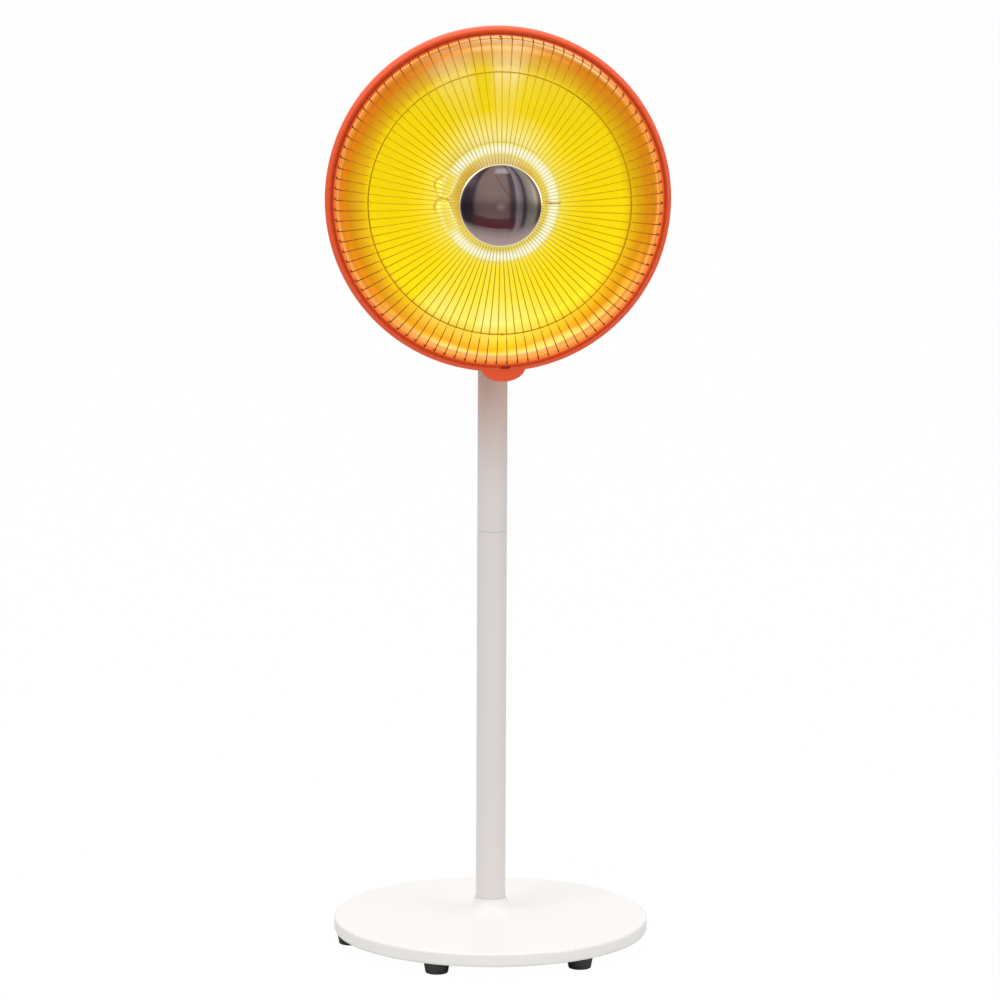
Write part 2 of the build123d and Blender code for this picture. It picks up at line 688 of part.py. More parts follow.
def lamp_sweep(radius):
    """Rod along the lamp's line: two legs from the back, a bend on each, and the ring between them."""
    start = LAMP_DEPTH - LAMP_BEND_R
    travel = (sin(LAMP_LEG_TURN), cos(LAMP_LEG_TURN))
    bend_x = LAMP_LEG[0] + LAMP_BEND_R * (1 - sqrt(0.5)) * travel[0]
    bend_y = LAMP_LEG[1] - LAMP_BEND_R * (1 - sqrt(0.5)) * travel[1]
    bend_z = start + LAMP_BEND_R * sqrt(0.5)
    lower = [(LAMP_LEG[0], -LAMP_LEG[1]), (bend_x, -bend_y), (LAMP_END[0], -LAMP_END[1])]
    upper = [(x, -y) for x, y in lower]
    route = Wire([
        Line((*lower[0], LAMP_LEG_END), (*lower[0], start)),
        ThreePointArc((*lower[0], start), (*lower[1], bend_z), (*lower[2], LAMP_DEPTH)),
        ThreePointArc((*lower[2], LAMP_DEPTH), (LAMP_R, 0, LAMP_DEPTH), (*upper[2], LAMP_DEPTH)),
        ThreePointArc((*upper[2], LAMP_DEPTH), (*upper[1], bend_z), (*upper[0], start)),
        Line((*upper[0], start), (*upper[0], LAMP_LEG_END)),
    ])
    section = Plane(origin=(*lower[0], LAMP_LEG_END), z_dir=(0, 0, 1)) * Circle(radius)
    return sweep(section, path=route)


def lamp_tube():
    return HEAD * (lamp_sweep(LAMP_TUBE_R) - lamp_sweep(LAMP_BORE_R))


def carbon_filament():
    return HEAD * lamp_sweep(FILAMENT_R)


def lamp_end_caps():
    wire_hole_r = 1.5
    cap = rod(LAMP_CAP_R, SHIELD_FRONT, LAMP_CAP_FRONT)
    cap += rod(LAMP_FLANGE_R, SHIELD_FRONT, SHIELD_FRONT + LAMP_FLANGE_T)
    cap -= rod(LAMP_TUBE_R + 0.05, SOCKET_FLOOR, LAMP_CAP_FRONT)
    return HEAD * group(cap - rod(wire_hole_r, SHIELD_FRONT, SOCKET_FLOOR), LAMP_LEG_PLACES)


def lamp_clamp():
    width = 22.0
    length = 2 * (LAMP_LEG[1] + 20)
    foot_length = 9.0
    foot_y = (length - foot_length) / 2
    low = SHIELD_FRONT + LAMP_FLANGE_T
    high = low + CLAMP_T
    plate = block((width, length, CLAMP_T), (LAMP_LEG[0], 0, (low + high) / 2))
    for side in (-1, 1):
        foot_centre = (LAMP_LEG[0], side * foot_y, (SHIELD_FRONT + low) / 2)
        plate += block((width, foot_length, LAMP_FLANGE_T), foot_centre)
    plate = drilled(plate, LAMP_CAP_R, low, high, LAMP_LEG_PLACES)
    return HEAD * drilled(plate, CLAMP_SCREW_R, SHIELD_FRONT, high, CLAMP_SCREW_PLACES)


def clamp_screws():
    seat = SHIELD_FRONT + LAMP_FLANGE_T + CLAMP_T
    fixing = Pos(0, 0, seat) * screw(2.8, 1.6, CLAMP_SCREW_R, seat - SHIELD_BACK)
    return HEAD * group(fixing, CLAMP_SCREW_PLACES)


def lamp_support():
    """Steel clip round the lamp at three o'clock, on a post from the heat shield."""
    clip_r = LAMP_TUBE_R + 1.0
    clip = Rot(90, 0, 0) * tube(LAMP_TUBE_R + 0.05, clip_r, -1.5, 1.5)
    post = rod(1.4, SHIELD_FRONT, LAMP_DEPTH - LAMP_TUBE_R - 0.5)
    return HEAD * Pos(LAMP_R, 0, 0) * (Pos(0, 0, LAMP_DEPTH) * clip + post)


def guard_wire():
    """One radial wire: flat under the cap, over the dome, round the corner and into the bezel."""
    dome_centre_depth = WIRE_DEPTH - DOME_R
    corner_from_centre = DOME_R - DOME_CORNER_R
    turn = asin((DOME_SIDE_R - DOME_CORNER_R - DOME_FLAT_R) / corner_from_centre)
    corner_depth = dome_centre_depth + corner_from_centre * cos(turn)
    dome_end = 90 - degrees(turn)
    side = (DOME_SIDE_R, corner_depth)
    route = Plane.XZ * Wire([
        Line((WIRE_START_R, WIRE_DEPTH), (DOME_FLAT_R, WIRE_DEPTH)),
        CenterArc((DOME_FLAT_R, dome_centre_depth), DOME_R, 90, dome_end - 90),
        CenterArc((DOME_SIDE_R - DOME_CORNER_R, corner_depth), DOME_CORNER_R, dome_end, -dome_end),
        Line(side, (DOME_SIDE_R, WIRE_END_DEPTH)),
    ])
    section = Plane(origin=(WIRE_START_R, 0, WIRE_DEPTH), z_dir=(1, 0, 0)) * Circle(RADIAL_WIRE_R)
    return sweep(section, path=route)


def ring_behind_dome(radius, wire_r):
    """Ring wire welded to the back of the radial wires."""
    run = max(0, radius - DOME_FLAT_R)
    dome_depth = WIRE_DEPTH - DOME_R + sqrt(DOME_R ** 2 - run ** 2)
    return Pos(0, 0, dome_depth - RADIAL_WIRE_R - wire_r + WELD_SINK) * Torus(radius, wire_r)


def front_guard():
    radial = guard_wire()
    step = 360 / RADIAL_COUNT
    radials = [Rot(0, 0, GUARD_TURN + step * (index + 0.5)) * radial for index in range(RADIAL_COUNT)]
    outer_ring_r = DOME_SIDE_R - RADIAL_WIRE_R - OUTER_RING_WIRE_R + WELD_SINK
    rings = [
        Pos(0, 0, OUTER_RING_DEPTH) * Torus(outer_ring_r, OUTER_RING_WIRE_R),
        ring_behind_dome(MIDDLE_RING_R, MIDDLE_RING_WIRE_R),
        ring_behind_dome(INNER_RING_R, INNER_RING_WIRE_R),
    ]
    return HEAD * radials[0].fuse(*radials[1:], *rings)


PLATE_FRONT = WIRE_DEPTH - RADIAL_WIRE_R - 2 * INNER_RING_WIRE_R + WELD_SINK - 0.05
PLATE_BACK = PLATE_FRONT - 1.2


def guard_plate():
    return HEAD * tube(CAP_SCREW_R, CAP_R - 2.5, PLATE_BACK, PLATE_FRONT)


def guard_cap():
    rim = WIRE_DEPTH + RADIAL_WIRE_R + 0.05
    rise = CAP_APEX - rim
    ball_r = (CAP_R ** 2 + rise ** 2) / (2 * rise)
    inner_ball_r = ball_r - CAP_T
    centre = (0, CAP_APEX - ball_r)
    inner_r = sqrt(inner_ball_r ** 2 - (ball_r - rise) ** 2)
    inner_apex = CAP_APEX - CAP_T
    outer_turn = degrees(asin(CAP_R / ball_r))
    inner_turn = degrees(asin(inner_r / inner_ball_r))
    cap = turned(
        CenterArc(centre, ball_r, 90, -outer_turn),
        Line((0, CAP_APEX), (0, inner_apex)),
        CenterArc(centre, inner_ball_r, 90, -inner_turn),
        Line((inner_r, rim), (CAP_R, rim)),
    )
    cap += rod(CAP_BOSS_R, PLATE_FRONT, inner_apex + 0.5)
    return HEAD * (cap - rod(CAP_SCREW_R, PLATE_FRONT, inner_apex - 3))


def cap_screw():
    length = 9.0
    return HEAD * Pos(0, 0, PLATE_BACK) * FLIP * screw(3.4, 1.8, CAP_SCREW_R, length)


# Controls on the back of the head
HOUSING_SCREW_R = 1.8
HOUSING_SCREW_PLACES = circle_places(4, HOUSING_SCREW_CIRCLE_R)
BACK_SCREW_R = 1.8
BACK_SCREW_PLACES = circle_places(4, BACK_SCREW_CIRCLE_R, 45)
PANEL_INNER = COVER_BACK + PANEL_T
SWITCH_PLACES = [Pos(side * SWITCH_X, SWITCH_Y, 0) for side in (-1, 1)]


def control_housing():
    corner_r = 3.0
    inside_r = HOUSING_R - HOUSING_WALL
    flange_back = SHELL_BACK - HOUSING_WALL
    drum = turned(
        Line((SHELL_OPENING_R + 2, SHELL_BACK), (HOUSING_R - corner_r, SHELL_BACK)),
        CenterArc((HOUSING_R - corner_r, SHELL_BACK - corner_r), corner_r, 0, 90),
        Polyline((HOUSING_R, SHELL_BACK - corner_r), (HOUSING_R, HOUSING_BACK), (inside_r, HOUSING_BACK),
                 (inside_r, flange_back), (SHELL_OPENING_R + 2, flange_back),
                 (SHELL_OPENING_R + 2, SHELL_BACK)),
    )
    for place in BACK_SCREW_PLACES:
        drum += place * rod(BACK_SCREW_R + 2.6, PANEL_INNER, SHELL_BACK - 1)
    drum = drilled(drum, BACK_SCREW_R, PANEL_INNER, PANEL_INNER + 14, BACK_SCREW_PLACES)
    drum = drilled(drum, HOUSING_SCREW_R, flange_back, SHELL_BACK, HOUSING_SCREW_PLACES)
    lug_top = HEAD_Z - HOUSING_R + 12
    lug_t = LUG_OUTER - LUG_INNER
    lugs = []
    for side in (-1, 1):
        middle = side * (LUG_INNER + LUG_OUTER) / 2
        web = block((lug_t, 2 * LUG_R, lug_top - PIN_Z), (middle, PIN_Y, (lug_top + PIN_Z) / 2))
        eye = Pos(middle, 0, 0) * PIN_PLACE * rod(LUG_R, -lug_t / 2, lug_t / 2)
        lugs.append(web + eye)
    lugs = lugs[0] + lugs[1] - HEAD * rod(inside_r + 0.5, PANEL_INNER, SHELL_BACK)
    return HEAD * drum + lugs - PIN_PLACE * rod(PIN_R, -LUG_OUTER, LUG_OUTER)


def control_back_cover():
    """Domed-edge lid with a lip inside the drum, and the windows for knob, switches and pilot light."""
    lip_r = HOUSING_R - HOUSING_WALL - 0.1
    lid_edge = HOUSING_BACK - 0.1
    flat_r = HOUSING_R - 8
    lid = turned(
        Line((0, COVER_BACK), (flat_r, COVER_BACK)),
        ThreePointArc((flat_r, COVER_BACK), (HOUSING_R - 2, COVER_BACK + 2.4), (HOUSING_R, lid_edge)),
        Polyline((HOUSING_R, lid_edge), (lip_r, lid_edge), (lip_r, lid_edge + 3), (lip_r - 2, lid_edge + 3),
                 (lip_r - 2, PANEL_INNER), (0, PANEL_INNER), (0, COVER_BACK)),
    )
    lid = HEAD * drilled(lid, BACK_SCREW_R, COVER_BACK, PANEL_INNER, BACK_SCREW_PLACES)
    windows = Pos(0, KNOB_Y, 0) * rod(SPINDLE_R + 0.6, -PANEL_T, 0)
    windows += block((44, 27, PANEL_T), (0, SWITCH_Y, -PANEL_T / 2))
    windows += Pos(PILOT_X, SWITCH_Y, 0) * rod(PILOT_R, -PANEL_T, 0)
    return lid - PANEL * windows


def housing_screws():
    fixing = Pos(0, 0, SHELL_BACK + SHELL_T) * screw(3.6, 1.8, HOUSING_SCREW_R, SHELL_T + HOUSING_WALL)
    return HEAD * group(fixing, HOUSING_SCREW_PLACES)


def back_screws():
    return HEAD * group(Pos(0, 0, COVER_BACK) * FLIP * screw(3.4, 1.6, BACK_SCREW_R, 14), BACK_SCREW_PLACES)


def timer_body():
    case_depth = 22.0
    case = block((44, 40, case_depth), (0, KNOB_Y, -PANEL_T - case_depth / 2))
    bore = Pos(0, KNOB_Y, 0) * rod(SPINDLE_R + RUNNING_GAP, -PANEL_T - 18, -PANEL_T)
    return PANEL * (case - bore)


def timer_spindle():
    return PANEL * Pos(0, KNOB_Y, 0) * rod(SPINDLE_R, -PANEL_T - 17, 12)


def timer_knob():
    skirt_low = 0.8
    skirt_high = 5.0
    grip_high = 17.0
    skirt = rod(KNOB_R, skirt_low, skirt_high)
    skirt = fillet(skirt.edges().group_by(Axis.Z)[-1], 1.8)
    grip = block((9, 2 * KNOB_R - 5, grip_high - skirt_low), (0, 0, (grip_high + skirt_low) / 2))
    grip &= rod(KNOB_R - 1.5, skirt_low, grip_high)
    grip = fillet(grip.edges().group_by(Axis.Z)[-1], 1.6)
    return PANEL * Pos(0, KNOB_Y, 0) * (skirt + grip - rod(SPINDLE_R, 0, 12))


def switch_block():
    """Black body of the two rocker switches, with a flange on the outside of the panel."""
    body_depth = 15.0
    well_floor = -12.0
    body = block((44, 27, body_depth), (0, SWITCH_Y, -body_depth / 2))
    flange = block((48, 31, SWITCH_FLANGE_T), (0, SWITCH_Y, SWITCH_FLANGE_T / 2))
    body += fillet(flange.edges().filter_by(Axis.Z), 2)
    well = block((2 * ROCKER_HALF_WIDTH + 0.6, 22, 2 - well_floor), (0, 0, (2 + well_floor) / 2))
    bearing = Pos(0, 0, ROCKER_PIVOT) * ALONG_X * rod(ROCKER_PIN_R + RUNNING_GAP, -ROCKER_HALF_WIDTH - 1.6,
                                                      ROCKER_HALF_WIDTH + 1.6)
    for place in SWITCH_PLACES:
        body -= place * (well + bearing)
    return PANEL * body


def rocker():
    """Rocker with its two stub pins, tipped to the off side."""
    width = 2 * ROCKER_HALF_WIDTH
    top = 5.8
    dip = 3.9
    section = Polyline((-ROCKER_HALF_HEIGHT, top), (0, dip), (ROCKER_HALF_HEIGHT, top), (9.2, 0),
                       (5, -5), (-5, -5), (-9.2, 0), close=True)
    body = extrude(Plane.YZ * make_face(section.edges()), width / 2, both=True)
    body += ALONG_X * rod(ROCKER_PIN_R, -ROCKER_HALF_WIDTH - 1.4, ROCKER_HALF_WIDTH + 1.4)
    return Pos(0, 0, ROCKER_PIVOT) * Rot(ROCKER_REST, 0, 0) * body


def power_rocker():
    return PANEL * SWITCH_PLACES[0] * rocker()


def swing_rocker():
    return PANEL * SWITCH_PLACES[1] * rocker()


def pilot_lens():
    lens = rod(PILOT_R, -PANEL_T - 3, 0) + rod(PILOT_R + 1, 0, 1.6)
    lens = fillet(lens.edges().group_by(Axis.Z)[-1], 1.2)
    return PANEL * Pos(PILOT_X, SWITCH_Y, 0) * lens


PIECES = (
    base_cover, base_plate, base_weight, rubber_feet, foot_screws, base_screws, flange_bolts, pole_flange,
    cable_gland, supply_cable, tip_housing, tip_microswitch, tip_plunger, tip_spring, lower_pole, upper_pole,
    pole_joiner, pole_screws, swivel_post, fixed_gear, thrust_washer, retaining_ring, swing_pinion, neck_shell,
    carrier_plate, swing_motor, motor_screws, bracket_screws, tilt_bracket, tilt_washers, tilt_pin, tilt_nut,
    bezel_ring, bezel_screws, rear_shell, reflector, heat_shield, shield_spacers, thermal_cutout, lamp_tube,
    carbon_filament, lamp_end_caps, lamp_clamp, clamp_screws, lamp_support, front_guard, guard_plate, guard_cap,
    cap_screw, control_housing, control_back_cover, housing_screws, back_screws, timer_body, timer_spindle,
    timer_knob, switch_block, power_rocker, swing_rocker, pilot_lens,
)

os.makedirs("parts", exist_ok=True)
for piece in PIECES:
    export_step(piece(), f"parts/{piece.__name__}.step")
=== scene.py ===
import bpy
import bmesh
from math import cos, pi, radians, sin, tau
from mathutils import Matrix, Vector


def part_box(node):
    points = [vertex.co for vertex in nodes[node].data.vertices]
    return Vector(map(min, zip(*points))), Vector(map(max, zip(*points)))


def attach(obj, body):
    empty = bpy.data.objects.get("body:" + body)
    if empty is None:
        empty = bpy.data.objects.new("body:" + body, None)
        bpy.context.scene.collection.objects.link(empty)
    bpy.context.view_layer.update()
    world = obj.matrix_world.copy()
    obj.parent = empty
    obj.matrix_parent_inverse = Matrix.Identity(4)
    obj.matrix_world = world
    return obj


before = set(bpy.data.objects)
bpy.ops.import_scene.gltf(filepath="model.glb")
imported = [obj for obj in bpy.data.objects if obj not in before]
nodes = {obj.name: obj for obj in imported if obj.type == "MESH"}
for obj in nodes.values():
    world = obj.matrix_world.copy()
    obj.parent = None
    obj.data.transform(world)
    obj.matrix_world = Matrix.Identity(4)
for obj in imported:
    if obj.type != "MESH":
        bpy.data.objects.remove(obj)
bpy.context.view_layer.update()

# The camera stands about six metres in front of the heater at standing eye height, a little to
# the left of it, and looks down on it through a long lens.
CAMERA_AZIMUTH = -2.79
CAMERA_DISTANCE = 5.884
CAMERA_HEIGHT = 1.529
CAMERA_YAW = -2.88
CAMERA_PITCH = 9.58
CAMERA_ROLL = 0.25
LENS_MM = 180.9
SENSOR_MM = 36.0

camera_data = bpy.data.cameras.new("camera")
camera_data.lens = LENS_MM
camera_data.sensor_width = SENSOR_MM
camera = bpy.data.objects.new("camera", camera_data)
bpy.context.scene.collection.objects.link(camera)
camera_place = Matrix.Translation((CAMERA_DISTANCE * sin(radians(CAMERA_AZIMUTH)),
                                   -CAMERA_DISTANCE * cos(radians(CAMERA_AZIMUTH)), CAMERA_HEIGHT))
camera.matrix_world = (camera_place @ Matrix.Rotation(radians(CAMERA_YAW), 4, "Z")
                       @ Matrix.Rotation(radians(90 - CAMERA_PITCH), 4, "X")
                       @ Matrix.Rotation(radians(CAMERA_ROLL), 4, "Z"))
bpy.context.scene.camera = camera
bpy.context.scene.view_settings.view_transform = "Standard"


# The room: an even white studio with a broad soft light overhead, a window on the left and a
# weak fill on the right. Camera, glossy and transmission rays see it pure white.
def linear(code):
    """sRGB hex colour as linear red, green, blue and alpha."""
    parts = [int(code[i:i + 2], 16) / 255 for i in (1, 3, 5)]
    return (*(p / 12.92 if p <= 0.04045 else ((p + 0.055) / 1.055) ** 2.4 for p in parts), 1.0)


def add(tree, kind, links=None, **settings):
    """Adds a node; links gives values or sockets for its inputs, settings its own properties."""
    node = tree.nodes.new(kind)
    for key, value in settings.items():
        setattr(node, key, value)
    for key, value in (links or {}).items():
        if isinstance(value, bpy.types.NodeSocket):
            tree.links.new(value, node.inputs[key])
        else:
            node.inputs[key].default_value = value
    return node


ROOM_LIGHT = 0.55
world = bpy.data.worlds.new("white_room")
bpy.context.scene.world = world
world.use_nodes = True
sky = world.node_tree
sky.nodes.clear()
ray = add(sky, "ShaderNodeLightPath")
shown = add(sky, "ShaderNodeMath", {0: ray.outputs["Is Camera Ray"],
                                    1: ray.outputs["Is Glossy Ray"]}, operation="MAXIMUM")
shown = add(sky, "ShaderNodeMath", {0: shown.outputs[0], 1: ray.outputs["Is Transmission Ray"]},
            operation="MAXIMUM")
level = add(sky, "ShaderNodeMapRange", {"Value": shown.outputs[0], "To Min": ROOM_LIGHT,
                                        "To Max": 1.0})
room = add(sky, "ShaderNodeBackground", {"Color": linear("#FFFFFF"), "Strength": level.outputs[0]})
add(sky, "ShaderNodeOutputWorld", {"Surface": room.outputs[0]})


def panel_light(name, place, aim, size, power):
    """Square soft light, turned to its aim; metres and watts."""
    data = bpy.data.lights.new(name, "AREA")
    data.size = size
    data.energy = power
    light = bpy.data.objects.new(name, data)
    bpy.context.scene.collection.objects.link(light)
    light.location = place
    light.rotation_euler = (Vector(aim) - Vector(place)).to_track_quat("-Z", "Y").to_euler()


panel_light("overhead", place=(0, 0, 3.2), aim=(0, 0, 0), size=3.0, power=49)
panel_light("window", place=(-2.2, -2.6, 2.8), aim=(0, 0, 0.6), size=2.2, power=40)
panel_light("fill", place=(2.6, -2.0, 1.6), aim=(0, 0, 0.6), size=2.0, power=20)


# Floor: a plain white studio floor, matt and painted. It looks white to the camera and keeps a
# trace of the heater's shadow; other rays see its own light grey.
def start(name):
    """New material with its node tree and its output node."""
    material = bpy.data.materials.new(name)
    material.use_nodes = True
    tree = material.node_tree
    tree.nodes.clear()
    return material, tree, tree.nodes.new("ShaderNodeOutputMaterial")


FLOOR_R = 30.0
FLOOR_WHITE_SHARE = 0.99
floor_mesh = bpy.data.meshes.new("floor")
floor_corners = [(FLOOR_R * x, FLOOR_R * y, 0) for x, y in ((-1, -1), (1, -1), (1, 1), (-1, 1))]
floor_mesh.from_pydata(floor_corners, [], [(0, 1, 2, 3)])
floor = bpy.data.objects.new("floor", floor_mesh)
bpy.context.scene.collection.objects.link(floor)
floor_paint, tree, out = start("white_floor")
ray = add(tree, "ShaderNodeLightPath")
matt = add(tree, "ShaderNodeBsdfDiffuse", {"Color": linear("#DDDDDD")})
bright = add(tree, "ShaderNodeEmission", {"Color": linear("#FFFFFF"), "Strength": 1.0})
share = add(tree, "ShaderNodeMath", {0: ray.outputs["Is Camera Ray"], 1: FLOOR_WHITE_SHARE},
            operation="MULTIPLY")
mixed = add(tree, "ShaderNodeMixShader", {0: share.outputs[0], 1: matt.outputs[0],
                                          2: bright.outputs[0]})
tree.links.new(mixed.outputs[0], out.inputs["Surface"])
floor_mesh.materials.append(floor_paint)


# Base cover, neck, tilt bracket and the housing on the back of the head: white ABS, injection
# moulded. The fine spark-eroded grain of the mould softens the shine; the white is a warm one.
WARP_PER_METRE = 14.0
GRAIN_STRENGTH = 0.6


def dress(material, *names):
    """Gives the named CAD pieces one material."""
    for name in names:
        slots = nodes[name].data.materials
        slots.clear()
        slots.append(material)


def moulded(name, code, roughness, grain_mm=0.9, depth_mm=0.03, ior=1.53):
    """Moulded plastic or rubber: one colour, an uneven shine, and the grain of the mould."""
    material, tree, out = start(name)
    place = add(tree, "ShaderNodeTexCoord")
    fine = add(tree, "ShaderNodeTexNoise", {"Vector": place.outputs["Object"],
                                            "Scale": 1000 / grain_mm, "Detail": 2.0})
    broad = add(tree, "ShaderNodeTexNoise", {"Vector": place.outputs["Object"],
                                             "Scale": WARP_PER_METRE, "Detail": 2.0})
    shine = add(tree, "ShaderNodeMapRange", {"Value": broad.outputs[0], "From Min": 0.3,
                                             "From Max": 0.7, "To Min": roughness - 0.04,
                                             "To Max": roughness + 0.05})
    bump = add(tree, "ShaderNodeBump", {"Height": fine.outputs[0], "Distance": depth_mm / 1000,
                                        "Strength": GRAIN_STRENGTH})
    body = add(tree, "ShaderNodeBsdfPrincipled", {"Base Color": linear(code), "IOR": ior,
                                                  "Roughness": shine.outputs[0],
                                                  "Normal": bump.outputs[0]})
    tree.links.new(body.outputs[0], out.inputs["Surface"])
    return material


abs_white = moulded("abs_moulded_white", "#F4F2EF", 0.36)
dress(abs_white, "base_cover", "neck_shell", "tilt_bracket", "control_housing", "control_back_cover")

# Feet: black natural rubber, compression moulded and matt, each held up into the base by a
# screw through its middle.
rubber = moulded("black_moulded_rubber", "#262624", 0.6, ior=1.52)
dress(rubber, "rubber_feet")


# Metal pieces inside, under and behind the heater: steel pressings and screws, zinc plated, with
# the faint cloudy spangle of the bath, so that the shine varies over a few millimetres. The clips
# of the lamp, the springs, pins, weight, shield and motor have steels and iron of their own.
SPANGLE_SPREAD = 0.08
SPANGLE_DARK = 0.8


def plated(name, code, roughness, spangle_mm=4.0):
    """Plated or bare metal with the cloudy spangle that plating leaves."""
    material, tree, out = start(name)
    place = add(tree, "ShaderNodeTexCoord")
    cloud = add(tree, "ShaderNodeTexNoise", {"Vector": place.outputs["Object"],
                                             "Scale": 1000 / spangle_mm, "Detail": 3.0})
    shine = add(tree, "ShaderNodeMapRange", {"Value": cloud.outputs[0], "From Min": 0.3,
                                             "From Max": 0.7, "To Min": roughness - SPANGLE_SPREAD,
                                             "To Max": roughness + SPANGLE_SPREAD})
    dark = [SPANGLE_DARK * part for part in linear(code)[:3]] + [1.0]
    tint = add(tree, "ShaderNodeMix", {"Factor": cloud.outputs[0], "A": linear(code), "B": dark},
               data_type="RGBA")
    metal = add(tree, "ShaderNodeBsdfPrincipled", {"Base Color": tint.outputs["Result"],
                                                   "Metallic": 1.0,
                                                   "Roughness": shine.outputs[0]})
    tree.links.new(metal.outputs[0], out.inputs["Surface"])
    return material


zinc = plated("zinc_plated_steel", "#C9C7C1", 0.34)
dress(zinc, "base_plate", "foot_screws", "base_screws", "flange_bolts", "pole_flange", "pole_screws",
      "bezel_screws", "housing_screws", "back_screws", "clamp_screws", "motor_screws", "bracket_screws",
      "cap_screw", "guard_plate", "carrier_plate", "tilt_washers", "tilt_nut", "shield_spacers")
dress(plated("yellow_passivated_steel_clip", "#ECCB4A", 0.3), "lamp_clamp", "lamp_support")
dress(plated("spring_steel_oiled", "#8E8C88", 0.3), "tip_spring", "retaining_ring")
dress(plated("turned_bright_steel", "#B4B2AE", 0.22), "swivel_post", "tilt_pin", "timer_spindle")
dress(plated("grey_cast_iron", "#5E5C5A", 0.6, 2.0), "base_weight")
dress(plated("aluminised_steel_sheet", "#BDBEBC", 0.42, 9.0), "heat_shield")
dress(plated("motor_case_blackened_steel", "#4A494B", 0.4), "swing_motor")

# Inner plastics, rubber and ceramic: nylon gears, acetal washer, polycarbonate and bakelite cases,
# soft cable sheath, and the white steatite ends of the lamp, painted yellow for the lamp's light on them.
dress(moulded("natural_nylon_gears", "#E6E2D2", 0.45), "fixed_gear", "swing_pinion", "tip_plunger")
dress(moulded("acetal_washer", "#DCDAD4", 0.35), "thrust_washer")
dress(moulded("black_nylon_filled", "#252527", 0.5), "tip_housing", "tip_microswitch", "pole_joiner",
      "cable_gland")
dress(moulded("timer_case_polycarbonate", "#D8D6CC", 0.4), "timer_body")
dress(moulded("cable_sheath_soft_vinyl", "#E4E3E0", 0.5, 1.6), "supply_cable")
# Painted lamp light: the white steatite is given a yellow, which the thermal cutout shares.
dress(moulded("steatite_ceramic", "#F2DE66", 0.55, 0.6), "lamp_end_caps", "thermal_cutout")

# Pole: two steel tubes, powder coated in warm white. The coat has the faint orange peel of the
# oven. Towards its upper end a painted reflection of the orange head and painted shade under it turn it
# light brown.
PEEL_MM = 2.2
PEEL_DEPTH = 0.00004
POLE_TOP_Z = 0.71
POLE_REFLECTION_FROM_Z = 0.52
pole_coat, tree, out = start("powder_coat_warm_white")
place = add(tree, "ShaderNodeTexCoord")
peel = add(tree, "ShaderNodeTexNoise", {"Vector": place.outputs["Object"], "Scale": 1000 / PEEL_MM,
                                        "Detail": 1.0})
bump = add(tree, "ShaderNodeBump", {"Height": peel.outputs[0], "Distance": PEEL_DEPTH,
                                    "Strength": 0.5})
height = add(tree, "ShaderNodeSeparateXYZ", {0: place.outputs["Object"]})
# Painted reflection and shade of the head: the coat turns light brown towards the top.
head_reflection_share = add(tree, "ShaderNodeMapRange", {"Value": height.outputs["Z"], "From Min": POLE_REFLECTION_FROM_Z,
                                          "From Max": POLE_TOP_Z}, interpolation_type="SMOOTHSTEP")
tone = add(tree, "ShaderNodeMix", {"Factor": head_reflection_share.outputs[0], "A": linear("#E3DEDB"),
                                   "B": linear("#CAB2A5")}, data_type="RGBA")
coat = add(tree, "ShaderNodeBsdfPrincipled", {"Base Color": tone.outputs["Result"],
                                              "Roughness": 0.42, "IOR": 1.5,
                                              "Normal": bump.outputs[0]})
tree.links.new(coat.outputs[0], out.inputs["Surface"])
dress(pole_coat, "lower_pole", "upper_pole")

# Bezel ring: sheet steel in orange-red stoving enamel. Its rolled front has a sharp crease, painted
# darker as shade, and the lip inside it, next to the lit dish, has painted lamp light and a painted glow
# in a lighter orange.
HEAD_CENTRE = Vector((0, -0.115, 0.906))
RAMP_PER_METRE = 5.0  # a ramp from 0 to 1 reaches from the head's middle to its edge
RAMP_END = 1.0


def ramp(tree, value, *stops):
    """Colour ramp over the given places and sRGB colours."""
    band = add(tree, "ShaderNodeValToRGB", {"Fac": value})
    marks = band.color_ramp.elements
    while len(marks) < len(stops):
        marks.new(0.5)
    for mark, (where, code) in zip(marks, stops):
        mark.position = where
        mark.color = linear(code)
    return band.outputs[0]


def head_polar(tree):
    """Place, radius from the head's middle in ramp units, and turn from nine o'clock, 0 to 1."""
    place = add(tree, "ShaderNodeTexCoord")
    shift = add(tree, "ShaderNodeVectorMath", {0: place.outputs["Object"], 1: (0, 0, -HEAD_CENTRE.z)})
    flat = add(tree, "ShaderNodeVectorMath", {0: shift.outputs[0], 1: (1, 0, 1)}, operation="MULTIPLY")
    radius = add(tree, "ShaderNodeVectorMath", {0: flat.outputs[0]}, operation="LENGTH")
    scaled = add(tree, "ShaderNodeMath", {0: radius.outputs["Value"], 1: RAMP_PER_METRE},
                 operation="MULTIPLY")
    parts = add(tree, "ShaderNodeSeparateXYZ", {0: flat.outputs[0]})
    angle = add(tree, "ShaderNodeMath", {0: parts.outputs["Z"], 1: parts.outputs["X"]},
                operation="ARCTAN2")
    turn = add(tree, "ShaderNodeMath", {0: angle.outputs[0], 1: 1 / tau, 2: 0.5},
               operation="MULTIPLY_ADD")
    return place.outputs["Object"], scaled.outputs[0], turn.outputs[0]


